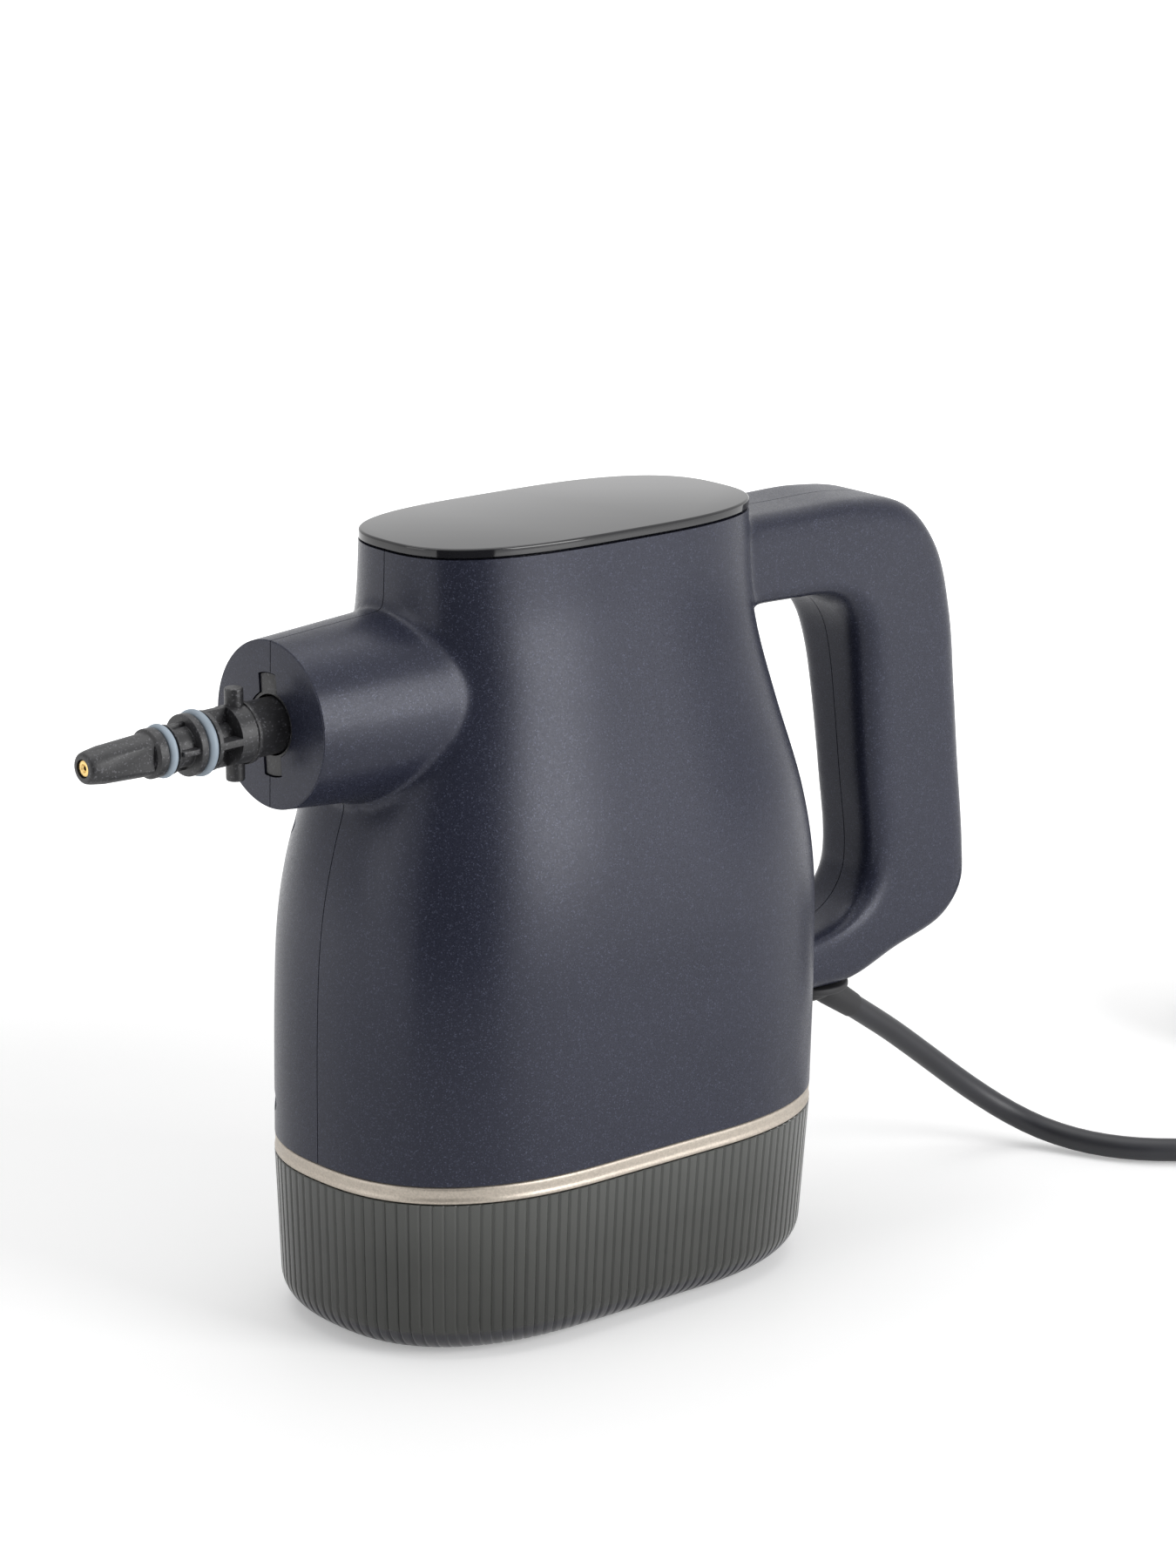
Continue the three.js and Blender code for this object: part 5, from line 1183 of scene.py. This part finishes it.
def strap_loop(across, tall, radius, lift, half):
    """Two rings round the coil's section, one on each side of the strap."""
    corners = []
    for cx, cz, start in ((1, 1, 0), (-1, 1, 90), (-1, -1, 180), (1, -1, 270)):
        for angle in np.radians(np.linspace(start, start + 90, 13)):
            corners.append((
                cx * (across / 2 - radius) + radius * math.cos(angle),
                lift + cz * (tall / 2 - radius) + radius * math.sin(angle),
            ))
    points = np.array(corners)
    out = np.array([math.cos(TIE["angle"]), math.sin(TIE["angle"])])
    along = np.array([-out[1], out[0]])
    rings = []
    for side in (-half, half):
        plan = np.array(COIL["centre"]) + out * (COIL["middle"] + points[:, :1]) + along * side
        rings.append(np.column_stack([plan, points[:, 1]]))
    return np.array(rings)


per_layer = COIL["turns"] / COIL["layers"]
tie_across = COIL["pitch"] * per_layer + LEAD_DIAMETER + 0.0016
tie_tall = COIL["layer_height"] * (COIL["layers"] - 1) + LEAD_DIAMETER + 0.0012
thick = TIE["thickness"]
tie_lift = tie_tall / 2 + thick
tie_strap = lofted("tie_strap", strap_loop(
    tie_across + 2 * thick, tie_tall + 2 * thick, 0.004, tie_lift, TIE["width"] / 2,
))
carve(tie_strap, lofted("tie_space", strap_loop(tie_across, tie_tall, 0.0034, tie_lift, TIE["width"])))
bevelled(tie_strap, 0.0002, 2, 60)
smooth_faces(tie_strap)
dress(tie_strap, rubber_black)
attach(tie_strap, "housing")
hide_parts("cord_tie")

# ---------------------------------------------------------------------------------------------
# Plug
# A moulded three-pin plug with a rounded body, a shallow grip groove round it, a ribbed entry
# sleeve, a fuse drawer between the pins and brass pins, of which two wear insulating sleeves.
# ---------------------------------------------------------------------------------------------
PLUG_THICK = 0.021
PLUG_MOUTH = Matrix.Translation((0, -PLUG["rear"], PLUG["entry_height"]))
PLUG_MOUTH = PLUG_MOUTH @ Matrix.Rotation(math.pi / 2, 4, "Z")
PIN_SIZES = {
    "earth": (0.004, 0.008, 0.0227), "neutral": (0.0064, 0.004, 0.0177), "live": (0.0064, 0.004, 0.0177),
}
PIN_ROOT = 0.005
PIN_SLEEVE_TOP = PLUG_THICK + 0.0095
PIN_PLACES = {"earth": (0, 0.0132), "neutral": (0.0111, -0.009), "live": (-0.0111, -0.009)}
FUSE = {"half": 0.004, "from": -0.015, "to": 0.005, "depth": 0.0025}


def plug_outline(inset, z):
    """The plug seen from above, widest at its middle, drawn in by inset."""
    half, rear = 0.025, PLUG["rear"]
    right = [
        ((0.014, -rear), None), ((half - 0.002, -rear + 0.012), None),
        ((half, -rear + 0.016), (half, -rear + 0.013)), ((half, rear - 0.004), None),
        ((half - 0.006, rear + 0.002), (half, rear + 0.002)),
    ]
    line = [np.array((0.0, -rear))]
    for end, bend in right:
        start, end = line[-1], np.array(end)
        bend = (start + end) / 2 if bend is None else np.array(bend)
        for t in np.linspace(0, 1, 9)[1:]:
            line.append(start * (1 - t) ** 2 + bend * 2 * t * (1 - t) + end * t**2)
    line = np.array([*line, (0.0, rear + 0.002)])
    line = np.concatenate([line, (line * (-1, 1))[-2:0:-1]])
    across = np.roll(line, -1, axis=0) - np.roll(line, 1, axis=0)
    across /= np.linalg.norm(across, axis=1)[:, None]
    line = line + np.column_stack([-across[:, 1], across[:, 0]]) * inset
    return np.column_stack([line, np.full(len(line), z)])


def plug_moulding_mesh():
    rings = []
    for angle in np.linspace(0, math.pi / 2, 6):
        rings.append(plug_outline(0.002 * (1 - math.sin(angle)), 0.002 * (1 - math.cos(angle))))
    rings += [plug_outline(inset, z) for inset, z in (
        (0.0, 0.0075), (0.0006, 0.0085), (0.0006, 0.0100), (0.0, 0.0110), (0.0, 0.0190),
    )]
    for angle in np.linspace(0, math.pi / 2, 6)[1:]:
        rings.append(plug_outline(0.002 * (1 - math.cos(angle)), 0.019 + 0.002 * math.sin(angle)))
    moulding = lofted("plug_moulding", np.array(rings))
    for name, (wide, deep, _) in PIN_SIZES.items():
        x, y = PIN_PLACES[name]
        a, b = wide / 2 + CLEARANCE, deep / 2 + CLEARANCE
        carve(moulding, boxed(
            "pin_slot", (x - a, y - b, PLUG_THICK - PIN_ROOT), (x + a, y + b, PLUG_THICK + 0.001),
        ))
    a = FUSE["half"] + CLEARANCE
    carve(moulding, boxed(
        "fuse_slot", (-a, FUSE["from"] - CLEARANCE, PLUG_THICK - FUSE["depth"]),
        (a, FUSE["to"] + CLEARANCE, PLUG_THICK + 0.001),
    ))
    return carve(moulding, spun_bar("entry", -0.001, 0.004, 0.0049, 48, PLUG_MOUTH))


def sleeve_mesh():
    profile = [(-PLUG["sleeve"], 0), (-PLUG["sleeve"], 0.0041)]
    for k in range(3):
        x = -0.0105 + 0.0032 * k
        radius = 0.0041 + 0.0005 * (x + PLUG["sleeve"]) / PLUG["sleeve"]
        for step, sink in ((0, 0), (0.0002, 0.0005), (0.0010, 0.0005), (0.0012, 0)):
            profile.append((x + step, radius - sink))
    profile += [(0, 0.0046), (0.0037, 0.0046), (0.0037, 0)]
    return turned("plug_boot", rounded_corners(profile, 0.0002, 2), 48, PLUG_MOUTH)


def fuse_drawer_mesh():
    drawer = boxed(
        "fuse_drawer", (-FUSE["half"], FUSE["from"], PLUG_THICK - FUSE["depth"] + CLEARANCE),
        (FUSE["half"], FUSE["to"], PLUG_THICK),
    )
    bevelled(drawer, 0.0004)
    notch_y = FUSE["to"] - 0.002
    corners = (-0.002, notch_y, PLUG_THICK - 0.0008), (0.002, notch_y + 0.001, 0.03)
    return carve(drawer, boxed("notch", *corners))


def pin_mesh(name):
    (wide, deep, proud), (x, y) = PIN_SIZES[name], PIN_PLACES[name]
    low, high = PLUG_THICK - PIN_ROOT + CLEARANCE, PLUG_THICK + proud
    pin = boxed(f"pin_{name}", (x - wide / 2, y - deep / 2, low), (x + wide / 2, y + deep / 2, high))
    take(pin)
    bpy.ops.object.mode_set(mode="EDIT")
    mesh = bmesh.from_edit_mesh(pin.data)
    for face in mesh.faces:
        face.select = face.normal.z > 0.9
    bmesh.update_edit_mesh(pin.data)
    bpy.ops.mesh.inset(thickness=0.0008)
    bpy.ops.object.mode_set(mode="OBJECT")
    for vertex in pin.data.vertices:
        edge = max(abs(vertex.co.x - x) / (wide / 2), abs(vertex.co.y - y) / (deep / 2))
        if vertex.co.z > high - 1e-5 and edge > 0.99:
            vertex.co.z -= 0.0010
    bevelled(pin, 0.00025)
    take(pin)
    bpy.ops.object.mode_set(mode="EDIT")
    bpy.ops.mesh.select_all(action="SELECT")
    bpy.ops.mesh.bisect(plane_co=(x, y, PIN_SLEEVE_TOP), plane_no=(0, 0, 1))
    bpy.ops.object.mode_set(mode="OBJECT")
    return pin


plug_moulding = plug_moulding_mesh()
plug_boot = sleeve_mesh()
fuse_drawer = fuse_drawer_mesh()
for piece, node in (
    (plug_moulding, "plug_body"), (plug_boot, "plug_sleeve"), (fuse_drawer, "plug_fuse_carrier"),
):
    piece.data.transform(PLUG_PLACE)
    smooth_faces(piece)
    dress(piece, lead_sheath)
    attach(piece, "housing")
    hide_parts(node)
for name in PIN_SIZES:
    pin = pin_mesh(name)
    pin.data.transform(PLUG_PLACE)
    smooth_faces(pin)
    dress(pin, brass)
    if name != "earth":
        pin.data.materials.append(lead_sheath)
        for face in pin.data.polygons:
            face.material_index = int(face.center.z < PIN_SLEEVE_TOP)
    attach(pin, "housing")
    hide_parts(f"plug_pin_{name}")

# ---------------------------------------------------------------------------------------------
# Shell screws
# Zinc-plated self-tapping screws with crossed heads, driven from the right shell into posts of the
# left one and left at the bottom of their wells.
# ---------------------------------------------------------------------------------------------
SCREW = {"head": 0.0031, "height": 0.0022, "shank": 0.0015, "tip": -0.009}


def first_screw():
    seat = WELL_DEPTH_AT + CLEARANCE
    head, height, shank, tip = SCREW["head"], SCREW["height"], SCREW["shank"], SCREW["tip"]
    profile = [(tip, 0), (tip + 0.0025, shank - 0.0003)]
    x = tip + 0.0025
    while x < seat - 0.0024:
        profile += [(x + 0.0006, shank), (x + 0.0012, shank - 0.0003)]
        x += 0.0012
    profile += [(seat, shank - 0.0001), (seat, head), (seat + 0.0006, head)]
    for angle in np.linspace(0.2, math.pi / 2, 6):
        profile.append((seat + 0.0006 + (height - 0.0006) * math.sin(angle), head * math.cos(angle)))
    screw = turned("shell_screw_1", profile, 40, Matrix.Rotation(math.pi / 2, 4, "Z"))
    top = seat + height
    for wide, deep in ((0.0017, 0.00035), (0.00035, 0.0017)):
        carve(screw, boxed("cross", (-wide, top - 0.0012, -deep), (wide, top + 0.001, deep)))
    return screw


zinc = brushed_metal("zinc", (0.62, 0.63, 0.65), 0.3, (900, 900, 900))
screw = first_screw()
smooth_faces(screw)
screws = [screw] + [copied(screw, f"shell_screw_piece_{i}") for i in range(2, len(SCREW_WELLS) + 1)]
screw.name = "shell_screw_piece_1"
for index, (piece, (x, z)) in enumerate(zip(screws, SCREW_WELLS), 1):
    piece.matrix_world = Matrix.Translation((x, 0, z)) @ Matrix.Rotation(index * 0.7, 4, "Y")
    settle(piece)
    dress(piece, zinc)
    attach(piece, "housing")
    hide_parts(f"shell_screw_{index}")

# ---------------------------------------------------------------------------------------------
# Works inside the body
# Boiler, pump, board, hoses, leads, tank lid and filler tube. They keep the shapes of the packed
# model and get the finish of what they are made of.
# ---------------------------------------------------------------------------------------------
cast_aluminium = brushed_metal("cast_aluminium", (0.52, 0.52, 0.53), 0.5, (700, 700, 700))
steel = brushed_metal("steel", (0.60, 0.60, 0.60), 0.34)
silicone = sheath_finish("silicone", (0.55, 0.53, 0.50), 0.45)
white_plastic = sheath_finish("white_plastic", (0.72, 0.71, 0.68), 0.4)
board_lacquer = polished("board_lacquer", (0.020, 0.115, 0.050), 0.3)
INNER_FINISHES = {
    "control_board": board_lacquer, "tank_lid": moulded_black, "tank_seal": rubber_black,
    "filler_neck": moulded_black, "flap_hinge_pin": steel, "steam_pipe": steel,
    "boiler_base": cast_aluminium, "boiler_gasket": silicone, "boiler_cover": cast_aluminium,
    "boiler_cradle": steel, "heating_element": steel, "thermostat": white_plastic,
    "thermal_fuse": white_plastic, "pump_coil": moulded_black, "pump_yoke": steel,
    "pump_tube": white_plastic, "pump_inlet": white_plastic, "pump_plunger": steel,
    "pump_foot_front": rubber_black, "pump_foot_rear": rubber_black,
    "suction_hose": silicone, "intake_filter": white_plastic, "delivery_hose": silicone,
    "terminal_block": white_plastic, "inner_lead": lead_sheath, "board_lead": white_plastic,
    "heater_lead": silicone,
}
for node, finish in INNER_FINISHES.items():
    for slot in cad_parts[node].material_slots:
        slot.material = finish
